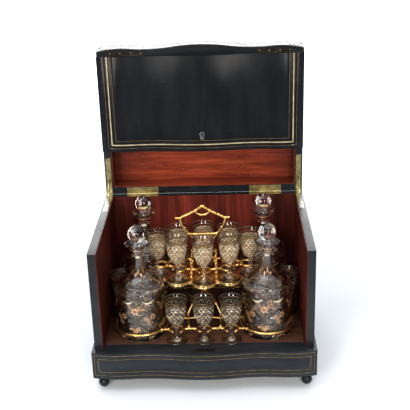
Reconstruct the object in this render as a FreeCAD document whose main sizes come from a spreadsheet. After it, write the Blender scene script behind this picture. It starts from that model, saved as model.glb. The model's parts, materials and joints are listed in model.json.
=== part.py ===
import FreeCAD, Part
import Sketcher
import os
import math

# A liqueur chest: an ebonised box on bun feet, with a hinged lid, a front flap that hangs
# from the lid, and a gilt two-tier carrier that holds four decanters and sixteen glasses.
# Frame: +Z up, the front faces -Y, +X to the right, origin under the middle of the box.
# At rest the lid stands open and the flap hangs folded against it.

doc = FreeCAD.newDocument("liqueur_chest")
sheet = doc.addObject("Spreadsheet::Sheet", "sizes")


class Size:
    """A length that carries its number and the sheet expression that gives it."""

    def __init__(self, value, text):
        self.value = float(value)
        self.text = text

    def __add__(self, other):
        other = size(other)
        return Size(self.value + other.value, "(%s + %s)" % (self.text, other.text))

    def __radd__(self, other):
        return size(other) + self

    def __sub__(self, other):
        other = size(other)
        return Size(self.value - other.value, "(%s - %s)" % (self.text, other.text))

    def __rsub__(self, other):
        return size(other) - self

    def __mul__(self, number):
        return Size(self.value * number, "(%s * %g)" % (self.text, number))

    def __rmul__(self, number):
        return self * number

    def __neg__(self):
        return Size(-self.value, "(0 - %s)" % self.text)


def size(number):
    """Wrap a plain number as a Size, and leave a Size as it is."""
    if isinstance(number, Size):
        return number
    return Size(number, "(%g)" % number)


# Driving dimensions in millimetres.
DIMENSIONS = {
    # Case
    "case_width": 330.0,
    "case_depth": 236.0,
    "wall_height": 158.0,
    "front_plane_y": -128.15,
    "carcass": 11.5,
    "lining": 1.5,
    "foot_height": 22.0,
    "foot_ball": 8.4,
    "foot_flat": 0.4,
    "foot_neck": 4.6,
    "foot_collar": 7.4,
    "collar_thick": 2.6,
    "foot_in_x": 155.0,
    "foot_in_y": 8.0,
    "plinth_height": 44.0,
    "plinth_step": 5.0,
    "plinth_side_step": 4.0,
    "floor_drop": 4.0,
    "floor_thick": 6.0,
    # Serpentine front, as depths in front of the walls
    "bulge_turn": 11.8,
    "hollow_turn": 10.2,
    "bulge_corner": 6.0,
    "turn_inner_x": 46.0,
    "turn_outer_x": 115.0,
    "arc_mid": 332.0,
    "arc_hollow": 299.0,
    "arc_corner": 143.0,
    # Lid and flap
    "lid_thick": 40.0,
    "lid_gap": 0.3,
    "lid_panel": 6.0,
    "lid_rim": 12.5,
    "flap_veneer": 1.2,
    # Brass lines let into the wood
    "line_deep": 0.6,
    "line_thin": 0.7,
    "line_bold": 1.7,
    "flap_line_side": 10.8,
    "flap_line_foot": 5.5,
    "bold_line_in": 5.2,
    "inner_line_in": 12.4,
    "plinth_line_side": 3.4,
    "plinth_line_top": 3.0,
    "plinth_line_foot": 6.0,
    "plinth_inner_in": 6.0,
    # Hinges, pins and plates
    "leaf_thick": 1.5,
    "butt_x": 103.0,
    "butt_length": 53.0,
    "butt_leaf": 11.5,
    "butt_knuckle": 2.8,
    "butt_pin": 1.3,
    "pin_clear": 0.05,
    "knuckle_clear": 0.3,
    "flap_hinge_x": 118.5,
    "flap_hinge_length": 58.0,
    "flap_hinge_leaf": 4.6,
    "flap_knuckle": 2.0,
    "flap_pin": 0.9,
    "plate_wide": 8.0,
    "box_plate_long": 75.0,
    "lid_plate_long": 64.0,
    "arm_radius": 25.0,
    "arm_deep": 4.0,
    "arm_thick": 2.0,
    "arm_slot": 3.0,
    "arm_foot_turn": 97.0,
    "arm_head_turn": 3.0,
    # Lock
    "lock_width": 46.0,
    "lock_height": 34.0,
    "lock_deep": 8.0,
    "bolt_width": 12.0,
    "bolt_thick": 3.0,
    "bolt_long": 16.0,
    "bolt_clear": 0.3,
    "key_height": 29.0,
    "key_radius": 2.2,
    "key_slot": 1.8,
    "escutcheon_radius": 4.0,
    "strike_width": 34.0,
    "strike_deep": 8.0,
    "strike_y": 6.5,
    # Countersunk brass screws
    "screw_head": 1.9,
    "small_screw_head": 1.0,
    "screw_long": 7.0,
    # Carrier
    "carrier_y": 111.0,
    "board_clear": 0.6,
    "board_front": 13.6,
    "board_gap": 0.1,
    "board_proud": 0.2,
    "stand_gap": 0.1,
    "wire": 1.8,
    "bar_wire": 1.5,
    "knot": 2.5,
    "lattice_z": 16.0,
    "decanter_x": 97.0,
    "decanter_y": 60.0,
    "ring_radius": 40.6,
    "clip_radius": 10.4,
    "clip_open": 37.0,
    "clip_in_y": 83.0,
    "side_clip_x": 127.0,
    "glass_step_x": 41.5,
    "glass_row_y": 89.0,
    "glass_side_x": 132.2,
    "leg_x": 25.0,
    "leg_foot": 4.2,
    "leg_bend_z": 34.0,
    "boss_z": 40.0,
    "boss_radius": 5.2,
    "tray_z": 70.0,
    "tray_thick": 5.4,
    "tray_collar": 4.0,
    "scallop": 19.4,
    "tray_middle_y": 31.5,
    "tray_side_y": 18.5,
    "upper_mid_y": 29.0,
    "upper_next_y": 20.0,
    "upper_side_x": 73.0,
    "upper_next_x": 40.5,
    "upper_lattice_z": 86.0,
    "upper_clip_in": 5.0,
    "upper_lean": 55.0,
    "post_x": 19.5,
    "post_y": 18.0,
    "post_top_z": 101.0,
    "handle_foot_z": 138.0,
    "handle_side_z": 164.5,
    "handle_top_z": 184.0,
    "handle_foot_x": 21.5,
    "handle_side_x": 35.5,
    "handle_stub_x": 41.0,
    "handle_loop_x": 11.0,
    "handle_loop_z": 170.0,
    "handle_wire": 1.9,
    "column_radius": 2.4,
    # Cordial glass, radii and heights above its foot
    "glass_foot": 16.0,
    "glass_foot_edge": 1.6,
    "glass_cone": 4.4,
    "glass_cone_z": 5.4,
    "glass_stem": 2.6,
    "glass_stem_z": 10.5,
    "glass_stem_top_z": 22.2,
    "glass_knop": 3.9,
    "glass_knop_z": 24.3,
    "glass_neck_z": 26.2,
    "glass_bowl": 12.8,
    "glass_bowl_z": 40.0,
    "glass_waist": 15.6,
    "glass_waist_z": 58.0,
    "glass_rim": 18.6,
    "glass_height": 71.0,
    "glass_wall": 1.7,
    "glass_well_z": 31.0,
    # Decanter and its ball stopper
    "decanter_body": 37.4,
    "decanter_foot": 34.0,
    "decanter_foot_z": 4.0,
    "shoulder_z": 90.0,
    "shoulder_round": 5.0,
    "neck_foot": 12.2,
    "neck_foot_z": 98.5,
    "neck_waist": 8.9,
    "neck_waist_z": 128.0,
    "neck_lip_z": 143.0,
    "lip_under": 10.6,
    "lip": 18.6,
    "lip_z": 151.0,
    "lip_thick": 1.4,
    "decanter_wall": 3.4,
    "decanter_base": 7.0,
    "bore": 6.4,
    "bore_mouth": 7.8,
    "stopper_foot_z": 128.5,
    "stopper_clear": 0.08,
    "stopper_waist": 4.6,
    "ball": 13.4,
    "ball_z": 166.5,
}

for row, (alias, number) in enumerate(DIMENSIONS.items(), start=1):
    sheet.set("A%d" % row, alias.replace("_", " "))
    sheet.set("B%d" % row, "%g" % number)
    sheet.setAlias("B%d" % row, alias)
doc.recompute()


def cell(alias):
    """The named cell of the sheet, as a Size."""
    return Size(sheet.get(alias), "sizes.%s" % alias)


half_width = cell("case_width") * 0.5
front_y = cell("front_plane_y")
back_y = front_y + cell("case_depth")
wall_foot_z = cell("foot_height") + cell("plinth_height")
wall_top_z = wall_foot_z + cell("wall_height")
wall_thick = cell("carcass") + cell("lining")
inside_x = half_width - wall_thick
carrier_y = front_y + cell("carrier_y")
carrier_z = wall_foot_z + cell("board_proud")
lid_foot_z = wall_top_z + cell("lid_gap")
lid_top_z = lid_foot_z + cell("lid_thick")

# The lid turns about the back edge of the box, and the flap about the lid's front edge.
LID_AXIS = FreeCAD.Vector(0, back_y.value, wall_top_z.value)
FLAP_AXIS = FreeCAD.Vector(0, front_y.value, wall_top_z.value)
X_AXIS = FreeCAD.Vector(1, 0, 0)
Y_AXIS = FreeCAD.Vector(0, 1, 0)
Z_AXIS = FreeCAD.Vector(0, 0, 1)
OPENED = FreeCAD.Placement(FreeCAD.Vector(), FreeCAD.Rotation(X_AXIS, -90), LID_AXIS)
FOLDED = FreeCAD.Placement(FreeCAD.Vector(), FreeCAD.Rotation(X_AXIS, 90), FLAP_AXIS)

parts = []


def keep(label, shape_object, body="case"):
    """Name a finished sub-part and set it in the rest pose of the body that carries it."""
    if body != "case" and shape_object.ExpressionEngine:
        shape_object = group(shape_object)
    shape_object.Label = label
    if body == "lid":
        shape_object.Placement = OPENED
    if body == "flap":
        shape_object.Placement = OPENED.multiply(FOLDED)
    parts.append(shape_object)


def bind(thing, **sizes):
    """Bind properties of an object to expressions of the sheet."""
    for name, length in sizes.items():
        thing.setExpression(name, size(length).text)


def place(thing, x, y, z):
    """Bind an object's position to expressions of the sheet."""
    position = zip("xyz", (x, y, z))
    for letter, length in position:
        thing.setExpression("Placement.Base.%s" % letter, size(length).text)


def box(x, y, z, length, width, height):
    """A block from its low corner and its three sizes."""
    block = doc.addObject("Part::Box", "block")
    bind(block, Length=length, Width=width, Height=height)
    place(block, x, y, z)
    return block


def rod(x, y, z, radius, height, along=None):
    """A cylinder from the middle of its first end, standing on Z or lying along an axis."""
    cylinder = doc.addObject("Part::Cylinder", "rod")
    bind(cylinder, Radius=radius, Height=height)
    if along is not None:
        cylinder.Placement.Rotation = FreeCAD.Rotation(Z_AXIS, along)
    place(cylinder, x, y, z)
    return cylinder


def ball(x, y, z, radius):
    """A full sphere about a point."""
    sphere = doc.addObject("Part::Sphere", "ball")
    bind(sphere, Radius=radius)
    place(sphere, x, y, z)
    return sphere


def hoop(x, y, z, radius, wire, start=0.0, turn=360.0):
    """A flat ring of wire, or an arc of one that starts at an angle from +X."""
    torus = doc.addObject("Part::Torus", "hoop")
    bind(torus, Radius1=radius, Radius2=wire)
    torus.Angle3 = turn
    torus.Placement.Rotation = FreeCAD.Rotation(Z_AXIS, start)
    place(torus, x, y, z)
    return torus


def join(*pieces):
    """One solid from pieces that run into each other."""
    fusion = doc.addObject("Part::MultiFuse", "joined")
    fusion.Shapes = list(pieces)
    return fusion


def group(*pieces):
    """Separate solids kept in one node."""
    compound = doc.addObject("Part::Compound", "group")
    compound.Links = list(pieces)
    return compound


def cut(base, *tools):
    """The base without its tools."""
    tool = tools[0] if len(tools) == 1 else join(*tools)
    result = doc.addObject("Part::Cut", "cut")
    result.Base = base
    result.Tool = tool
    return result


def common(first, second):
    """What two solids share."""
    result = doc.addObject("Part::Common", "shared")
    result.Base = first
    result.Tool = second
    return result


def mirrored(piece):
    """The same piece on the other side of the box."""
    mirror = doc.addObject("Part::Mirroring", "mirrored")
    mirror.Source = piece
    mirror.Normal = X_AXIS
    return mirror


def both_sides(piece):
    """A piece and its mirror image, as one node of two solids."""
    return group(piece, mirrored(piece))


def pin_coordinates(sketch, edge, point, x, y):
    """Fix a sketch point at a bound position, or on an axis where a coordinate is None."""
    for kind, axis, length in (("DistanceX", -2, x), ("DistanceY", -1, y)):
        if length is None:
            sketch.addConstraint(Sketcher.Constraint("PointOnObject", edge, point, axis))
            continue
        index = sketch.addConstraint(Sketcher.Constraint(kind, -1, 1, edge, point, length.value))
        sketch.setExpression("Constraints[%d]" % index, length.text)


def number_of(length):
    """The plain number of a Size, where None stands for an axis."""
    return 0.0 if length is None else length.value


def draw_outline(sketch, outline):
    """Draw a closed outline of (x, y, arc radius) corners, with every size bound.

    The radius belongs to the run that leaves the corner: None is a straight run, a positive
    radius has its centre on the left of the run, and a negative one on the right.
    """
    starts = []
    ends = []
    for index, (x, y, radius) in enumerate(outline):
        next_x, next_y, _ = outline[(index + 1) % len(outline)]
        first = FreeCAD.Vector(number_of(x), number_of(y), 0)
        second = FreeCAD.Vector(number_of(next_x), number_of(next_y), 0)
        if radius is None:
            edge = sketch.addGeometry(Part.LineSegment(first, second), False)
            starts.append((edge, 1))
            ends.append((edge, 2))
            continue
        turn, arc_radius = radius
        run = second.sub(first)
        left = FreeCAD.Vector(-run.y, run.x, 0).normalize()
        rise = math.sqrt(arc_radius.value ** 2 - (run.Length / 2) ** 2)
        centre = first + run * 0.5 + left * (rise * turn)
        angle_first = math.atan2(first.y - centre.y, first.x - centre.x)
        angle_second = math.atan2(second.y - centre.y, second.x - centre.x)
        circle = Part.Circle(centre, Z_AXIS, arc_radius.value)
        if turn > 0:
            edge = sketch.addGeometry(Part.ArcOfCircle(circle, angle_first, angle_second), False)
            starts.append((edge, 1))
            ends.append((edge, 2))
        else:
            edge = sketch.addGeometry(Part.ArcOfCircle(circle, angle_second, angle_first), False)
            starts.append((edge, 2))
            ends.append((edge, 1))
        index_r = sketch.addConstraint(Sketcher.Constraint("Radius", edge, arc_radius.value))
        sketch.setExpression("Constraints[%d]" % index_r, arc_radius.text)
    for index, (x, y, _) in enumerate(outline):
        edge, point = starts[index]
        last_edge, last_point = ends[index - 1]
        sketch.addConstraint(Sketcher.Constraint("Coincident", last_edge, last_point, edge, point))
        pin_coordinates(sketch, edge, point, x, y)


def origin_feature(body, role):
    """One of the body's own origin planes or axes."""
    for feature in body.Origin.OriginFeatures:
        if feature.Role == role:
            return feature
    raise ValueError(role)


def turned(label, outline, x, y, z):
    """A body turned on a lathe: (radius, height, arc) corners swung about its own Z axis."""
    lathe = doc.addObject("PartDesign::Body", label)
    sketch = lathe.newObject("Sketcher::SketchObject", label + "_profile")
    sketch.AttachmentSupport = (origin_feature(lathe, "XZ_Plane"), [""])
    sketch.MapMode = "FlatFace"
    draw_outline(sketch, outline)
    revolution = lathe.newObject("PartDesign::Revolution", label + "_turned")
    revolution.Profile = sketch
    revolution.ReferenceAxis = (origin_feature(lathe, "Z_Axis"), [""])
    revolution.Angle = 360
    lathe.Tip = revolution
    place(lathe, x, y, z)
    return lathe


def serpentine(step, side_step, back, foot_z, height, shift=0.0):
    """A block with the wavy front in plan: a middle bulge, two hollows and two shoulders.

    The steps push its front and sides outwards, and the shift moves all of it backwards.
    """
    pad = doc.addObject("PartDesign::Body", "wavy")
    sketch = pad.newObject("Sketcher::SketchObject", "wavy_outline")
    sketch.AttachmentSupport = (origin_feature(pad, "XY_Plane"), [""])
    sketch.MapMode = "FlatFace"
    side = half_width + side_step
    corner_y = front_y - cell("bulge_corner") - step
    hollow_y = front_y - cell("hollow_turn") - step
    bulge_y = front_y - cell("bulge_turn") - step
    outer_x = cell("turn_outer_x")
    inner_x = cell("turn_inner_x")
    outline = [
        (-side, corner_y, (1, cell("arc_corner") + side_step * 2)),
        (-outer_x, hollow_y, (-1, cell("arc_hollow"))),
        (-inner_x, bulge_y, (1, cell("arc_mid"))),
        (inner_x, bulge_y, (-1, cell("arc_hollow"))),
        (outer_x, hollow_y, (1, cell("arc_corner") + side_step * 2)),
        (side, corner_y, None),
        (side, back, None),
        (-side, back, None),
    ]
    draw_outline(sketch, outline)
    length = pad.newObject("PartDesign::Pad", "wavy_pad")
    length.Profile = sketch
    bind(length, Length=height)
    pad.Tip = length
    place(pad, size(0), size(shift), foot_z)
    return pad


def frame_between(x, z, height, line):
    """A picture-frame prism through the front: an outline of one line's width."""
    deep = cell("case_depth")
    start_y = front_y - deep * 0.5
    outer = box(-x, start_y, z, x * 2, deep, height)
    inner = box(-x + line, start_y - 1, z + line, x * 2 - line * 2, deep + 2, height - line * 2)
    return cut(outer, inner)


# Feet, plinth and floor

def make_feet():
    """Four turned black balls, each on a thin neck under a collar, flat where they stand."""
    ball_z = cell("foot_ball") - cell("foot_flat")
    feet = []
    for side_x in (-1, 1):
        for y in (front_y + cell("foot_in_y") - cell("bulge_corner"), back_y - cell("foot_in_y")):
            x = cell("foot_in_x") * side_x
            sphere = ball(x, y, ball_z, cell("foot_ball"))
            neck = rod(x, y, ball_z, cell("foot_neck"), cell("foot_height") - ball_z)
            collar_z = cell("foot_height") - cell("collar_thick")
            collar = rod(x, y, collar_z, cell("foot_collar"), cell("collar_thick"))
            waste = box(x - 12, y - 12, size(-12), size(24), size(24), size(12))
            feet.append(cut(join(sphere, neck, collar), waste))
    keep("bun_feet", group(*feet))


def make_plinth():
    """The wavy plinth, open in the middle for the floor, with two brass lines let in."""
    foot_z = cell("foot_height")
    step = cell("plinth_step")
    side_step = cell("plinth_side_step")
    height = cell("plinth_height")
    back = back_y + side_step
    solid = serpentine(step, side_step, back, foot_z, height)
    skin = serpentine(step, side_step, back, foot_z - 1, height + 2, cell("line_deep"))
    line_x = half_width + side_step - cell("plinth_line_side")
    line_z = foot_z + cell("plinth_line_foot")
    line_height = height - cell("plinth_line_foot") - cell("plinth_line_top")
    inner = cell("plinth_inner_in")
    thin = cell("line_thin")
    outer_line = frame_between(line_x, line_z, line_height, thin)
    inner_line = frame_between(line_x - inner, line_z + inner, line_height - inner * 2, thin)
    surface = cut(solid, skin)
    outer_strip = common(surface, outer_line)
    inner_strip = common(surface, inner_line)
    keep("plinth_stringing", group(outer_strip, inner_strip))
    well_deep = back_y - wall_thick - (front_y + wall_thick)
    well = box(-inside_x, front_y + wall_thick, foot_z - 1, inside_x * 2, well_deep, height + 2)
    strike_x = cell("strike_width") * 0.5
    strike_y = front_y - cell("strike_y") - cell("strike_deep") * 0.5
    strike_z = wall_foot_z - cell("leaf_thick")
    strike = box(-strike_x, strike_y, strike_z, strike_x * 2, cell("strike_deep"), cell("leaf_thick"))
    slot_x = cell("bolt_width") * 0.5 + 1
    slot_thick = cell("bolt_thick") + 1.4
    slot_y = front_y - cell("strike_y") - slot_thick * 0.5
    slot = box(-slot_x, slot_y, wall_foot_z - 8, slot_x * 2, slot_thick, size(9))
    keep("strike_plate", cut(strike, slot))
    keep("plinth", cut(solid, outer_strip, inner_strip, well, strike, slot))
    floor_z = wall_foot_z - cell("floor_drop") - cell("floor_thick")
    floor_y = front_y + wall_thick
    keep("box_floor", box(-inside_x, floor_y, floor_z, inside_x * 2, well_deep, cell("floor_thick")))


# Walls

def arm_slot():
    """The curved mortise in a side wall that the quadrant arm sinks into."""
    outer = cell("arm_radius") + cell("arm_deep") * 0.5 + 0.5
    inner = cell("arm_radius") - cell("arm_deep") * 0.5 - 0.5
    middle_x = half_width - wall_thick * 0.5
    start_x = middle_x - cell("arm_slot") * 0.5
    drum = rod(start_x, back_y, wall_top_z, outer, cell("arm_slot"), X_AXIS)
    core = rod(start_x - 1, back_y, wall_top_z, inner, cell("arm_slot") + 2, X_AXIS)
    ring = cut(drum, core)
    reach = cell("arm_radius") + 6
    window_y = back_y - reach
    window = box(start_x - 1, window_y, wall_top_z - reach, cell("arm_slot") + 2, reach - 3, reach + 1)
    return common(ring, window)


def plate_pocket(length):
    """The shallow bed of a quadrant plate along a side wall's top."""
    middle_x = half_width - wall_thick * 0.5
    start_x = middle_x - cell("plate_wide") * 0.5
    start_z = wall_top_z - cell("leaf_thick")
    return box(start_x, back_y - length, start_z, cell("plate_wide"), length, cell("leaf_thick"))


def make_walls():
    """Two side walls and the back wall, each with its red-brown veneer lining."""
    height = cell("wall_height")
    side_x = half_width - cell("carcass")
    depth = cell("case_depth")
    right = box(side_x, front_y, wall_foot_z, cell("carcass"), depth, height)
    long_plate = cell("box_plate_long")
    side_screws = plate_screws(long_plate, wall_top_z, True)
    right_wall = cut(right, arm_slot(), plate_pocket(long_plate), *side_screws)
    keep("right_wall", right_wall)
    keep("left_wall", mirrored(right_wall))
    plate = cut(plate_pocket(long_plate), arm_slot(), *side_screws)
    keep("quadrant_box_plates", both_sides(plate))
    back_screws = butt_screws(wall_top_z, True)
    keep("case_screws", both_sides_of(side_screws + back_screws))
    back = box(-side_x, back_y - cell("carcass"), wall_foot_z, side_x * 2, cell("carcass"), height)
    bed = join(butt_bed_on_wall(), *back_screws)
    keep("back_wall", cut(back, bed, mirrored(bed)))
    lining = cell("lining")
    lining_depth = depth - wall_thick
    right_lining = box(inside_x, front_y, wall_foot_z, lining, lining_depth, height)
    lining_y = back_y - wall_thick
    back_lining = box(-side_x, lining_y, wall_foot_z, side_x * 2, lining, height)
    keep("wall_linings", group(mirrored(right_lining), right_lining, back_lining))


# Butt hinges between the box and the lid, drawn with the lid shut

def butt_span(start, end):
    """A length of the right-hand butt hinge, as a start along X and a length."""
    first = cell("butt_x") - cell("butt_length") * 0.5 + cell("butt_length") * start
    return first, cell("butt_length") * (end - start)


def knuckle(start, end, radius, axis_y):
    """A stretch of a butt hinge's barrel."""
    first, length = butt_span(start, end)
    return rod(first, axis_y, wall_top_z, radius, length, X_AXIS)


def butt_bed_on_wall():
    """The bed of a butt hinge in the back wall: the leaf's recess and the barrel's hollow."""
    first, length = butt_span(0, 1)
    leaf_y = back_y - cell("butt_leaf")
    recess = box(first, leaf_y, wall_top_z - cell("leaf_thick"), length, cell("butt_leaf"), size(3))
    hollow = knuckle(0, 1, cell("butt_knuckle") + cell("knuckle_clear"), back_y)
    return join(recess, hollow)


def butt_bed_on_lid():
    """The bed of a butt hinge in the lid's back rim."""
    first, length = butt_span(0, 1)
    leaf_y = back_y - cell("butt_leaf")
    top = cell("lid_gap") + cell("leaf_thick")
    recess = box(first, leaf_y, wall_top_z, length, cell("butt_leaf"), top)
    hollow = knuckle(0, 1, cell("butt_knuckle") + cell("knuckle_clear"), back_y)
    return join(recess, hollow)


def make_butt_hinges():
    """Two brass butt hinges: wall leaves with outer knuckles, lid leaves with a middle one."""
    first, length = butt_span(0, 1)
    leaf = cell("butt_leaf")
    thick = cell("leaf_thick")
    radius = cell("butt_knuckle")
    clear = radius + cell("knuckle_clear")
    bore = knuckle(-0.02, 1.02, cell("butt_pin") + cell("pin_clear"), back_y)
    wall_leaf = box(first, back_y - leaf, wall_top_z - thick, length, leaf, thick)
    low_knuckle = knuckle(0, 0.32, radius, back_y)
    high_knuckle = knuckle(0.68, 1, radius, back_y)
    middle_clear = knuckle(0.31, 0.69, clear, back_y)
    wall_screws = butt_screws(wall_top_z, True)
    wall_part = cut(join(cut(wall_leaf, middle_clear), low_knuckle, high_knuckle), bore, *wall_screws)
    keep("rear_hinge_box_leaves", both_sides(wall_part))
    lid_leaf = box(first, back_y - leaf, wall_top_z + cell("lid_gap"), length, leaf, thick)
    middle = knuckle(0.335, 0.665, radius, back_y)
    low_clear = knuckle(-0.01, 0.33, clear, back_y)
    high_clear = knuckle(0.67, 1.01, clear, back_y)
    lid_screws = butt_screws(lid_foot_z, False)
    lid_part = cut(join(cut(lid_leaf, low_clear, high_clear), middle), bore, *lid_screws)
    keep("rear_hinge_lid_leaves", both_sides(lid_part), "lid")
    pin = knuckle(0, 1, cell("butt_pin"), back_y)
    keep("rear_hinge_pins", both_sides(pin))


# Screws

def screw(x, y, z, down, wide):
    """A countersunk screw with its head flush at a height, driven down or up."""
    thick = cell("leaf_thick")
    long = cell("screw_long")
    head = doc.addObject("Part::Cone", "screw_head")
    narrow = wide * 0.5
    bind(head, Height=thick)
    if down:
        bind(head, Radius1=narrow, Radius2=wide)
        place(head, x, y, z - thick)
        return join(head, rod(x, y, z - thick - long, narrow, long))
    bind(head, Radius1=wide, Radius2=narrow)
    place(head, x, y, z)
    return join(head, rod(x, y, z + thick, narrow, long))


def butt_screws(z, down):
    """Four screws through a leaf of the right-hand butt hinge."""
    places = ((-0.4, 0.7), (-0.14, 0.55), (0.14, 0.55), (0.4, 0.7))
    return [screw(cell("butt_x") + cell("butt_length") * along,
                  back_y - cell("butt_leaf") * across, z, down, cell("screw_head"))
            for along, across in places]


def plate_screws(length, z, down):
    """Three screws along a right-hand quadrant plate."""
    x = half_width - wall_thick * 0.5
    return [screw(x, back_y - length * along, z, down, cell("screw_head"))
            for along in (0.5, 0.72, 0.93)]


def flap_hinge_screws(z, down):
    """Four small screws through a leaf of the right-hand flap hinge."""
    head = cell("small_screw_head")
    y = front_y - cell("flap_hinge_leaf") * 0.75
    return [screw(cell("flap_hinge_x") + cell("flap_hinge_length") * along, y, z, down, head)
            for along in (-0.42, -0.15, 0.15, 0.42)]


def both_sides_of(screws):
    """A set of screws and its mirror image, as separate solids of one group."""
    return group(*(screws + [mirrored(one) for one in screws]))


# Lid, drawn shut and then opened

def flap_hinge_rod(start, end, radius):
    """A stretch of the right-hand flap hinge's barrel, along the flap's inner top edge."""
    length = cell("flap_hinge_length")
    first = cell("flap_hinge_x") - length * 0.5 + length * start
    return rod(first, front_y, wall_top_z, radius, length * (end - start), X_AXIS)


def flap_hinge_leaf(bottom_z, thick):
    """A long thin leaf in front of the flap hinge's axis."""
    length = cell("flap_hinge_length")
    first = cell("flap_hinge_x") - length * 0.5
    leaf = cell("flap_hinge_leaf")
    return box(first, front_y - leaf, bottom_z, length, leaf, thick)


def make_lid():
    """The lid: a wavy-fronted tray of a top panel on a deep frame, lined with veneer."""
    frame_height = cell("lid_thick") - cell("lid_panel")
    depth = cell("case_depth")
    block = serpentine(size(0), size(0), back_y, lid_foot_z, frame_height)
    rim = cell("lid_rim")
    open_x = half_width - rim
    well_y = front_y + rim
    well = box(-open_x, well_y, lid_foot_z - 1, open_x * 2, depth - rim * 2, frame_height + 2)
    surface = cut(block, serpentine(size(0), size(0), back_y, lid_foot_z - 1,
                                    frame_height + 2, cell("line_deep")))
    strips = flap_line_frames(surface, front_lines_foot_z())
    keep("lid_stringing", group(*strips), "lid")
    clear = cell("flap_knuckle") + cell("knuckle_clear")
    screws = butt_screws(lid_foot_z, False) + flap_hinge_screws(lid_foot_z, False)
    screws += plate_screws(cell("lid_plate_long"), lid_foot_z, False)
    keep("lid_screws", both_sides_of(screws), "lid")
    flap_leaf = flap_hinge_leaf(lid_foot_z, cell("leaf_thick"))
    bed = join(flap_hinge_rod(0, 1, clear), flap_leaf)
    right_tools = [bed, butt_bed_on_lid(), lid_plate()] + screws
    tools = list(strips) + [well] + right_tools + [mirrored(tool) for tool in right_tools]
    keep("lid_frame", cut(block, *tools), "lid")
    panel_z = lid_foot_z + frame_height
    panel = serpentine(size(0), size(0), back_y, panel_z, cell("lid_panel"))
    keep("lid_top", panel, "lid")
    lining = cell("lining")
    tray = box(-open_x, well_y, lid_foot_z + 0.6, open_x * 2, depth - rim * 2, frame_height - 0.6)
    hollow_x = open_x - lining
    hollow_deep = depth - rim * 2 - lining * 2
    hollow_height = frame_height - lining
    hollow = box(-hollow_x, well_y + lining, lid_foot_z - 1, hollow_x * 2, hollow_deep, hollow_height + 1)
    keep("lid_lining", cut(tray, hollow), "lid")


def front_lines_foot_z():
    """Where the flap's upright lines start, below its foot, so that they run off its top."""
    return wall_foot_z + cell("lid_gap") + cell("flap_line_foot")


def flap_line_frames(surface, foot_z):
    """Three nested brass lines that run round the flap and close on the lid's front edge."""
    top_z = lid_top_z - cell("flap_line_foot") - cell("lid_panel")
    edges = ((size(0), cell("line_thin")),
             (cell("bold_line_in"), cell("line_bold")),
             (cell("inner_line_in"), cell("line_thin")))
    strips = []
    for inward, line in edges:
        line_x = half_width - cell("flap_line_side") - inward
        prism = frame_between(line_x, foot_z + inward, top_z - foot_z - inward * 2, line)
        strips.append(common(surface, prism))
    return strips


def lid_plate():
    """A quadrant plate let into a side rim of the lid."""
    middle_x = half_width - wall_thick * 0.5
    start_x = middle_x - cell("plate_wide") * 0.5
    length = cell("lid_plate_long")
    return box(start_x, back_y - length, lid_foot_z, cell("plate_wide"), length, cell("leaf_thick"))


def make_quadrants():
    """Brass plates on the lid's side rims, each with a curved arm that sinks into the wall."""
    screws = plate_screws(cell("lid_plate_long"), lid_foot_z, False)
    keep("quadrant_lid_plates", both_sides(cut(lid_plate(), *screws)), "lid")
    outer = cell("arm_radius") + cell("arm_deep") * 0.5
    inner = cell("arm_radius") - cell("arm_deep") * 0.5
    start_x = half_width - wall_thick * 0.5 - cell("arm_thick") * 0.5
    drum = rod(start_x, back_y, wall_top_z, outer, cell("arm_thick"), X_AXIS)
    core = rod(start_x - 1, back_y, wall_top_z, inner, cell("arm_thick") + 2, X_AXIS)
    ring = cut(drum, core)
    head_turn = cell("arm_head_turn").value
    wedge = rod(start_x - 1, back_y, wall_top_z, outer + 2, cell("arm_thick") + 2, X_AXIS)
    wedge.Angle = cell("arm_foot_turn").value + head_turn
    spin = FreeCAD.Rotation(Z_AXIS, X_AXIS)
    start = 90.0 - head_turn + wedge_start(spin)
    wedge.Placement.Rotation = FreeCAD.Rotation(X_AXIS, start).multiply(spin)
    arm = common(ring, wedge)
    behind = box(start_x - 1, back_y + cell("lid_gap"), wall_top_z, cell("arm_thick") + 2, outer, outer + 2)
    keep("quadrant_arms", both_sides(cut(arm, behind)))


def wedge_start(spin):
    """The angle about X, from +Y, of the edge where a part-turned cylinder starts."""
    edge = spin.multVec(X_AXIS)
    return -math.degrees(math.atan2(edge.z, edge.y))


# Front flap, drawn shut and then folded up against the opened lid

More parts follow.
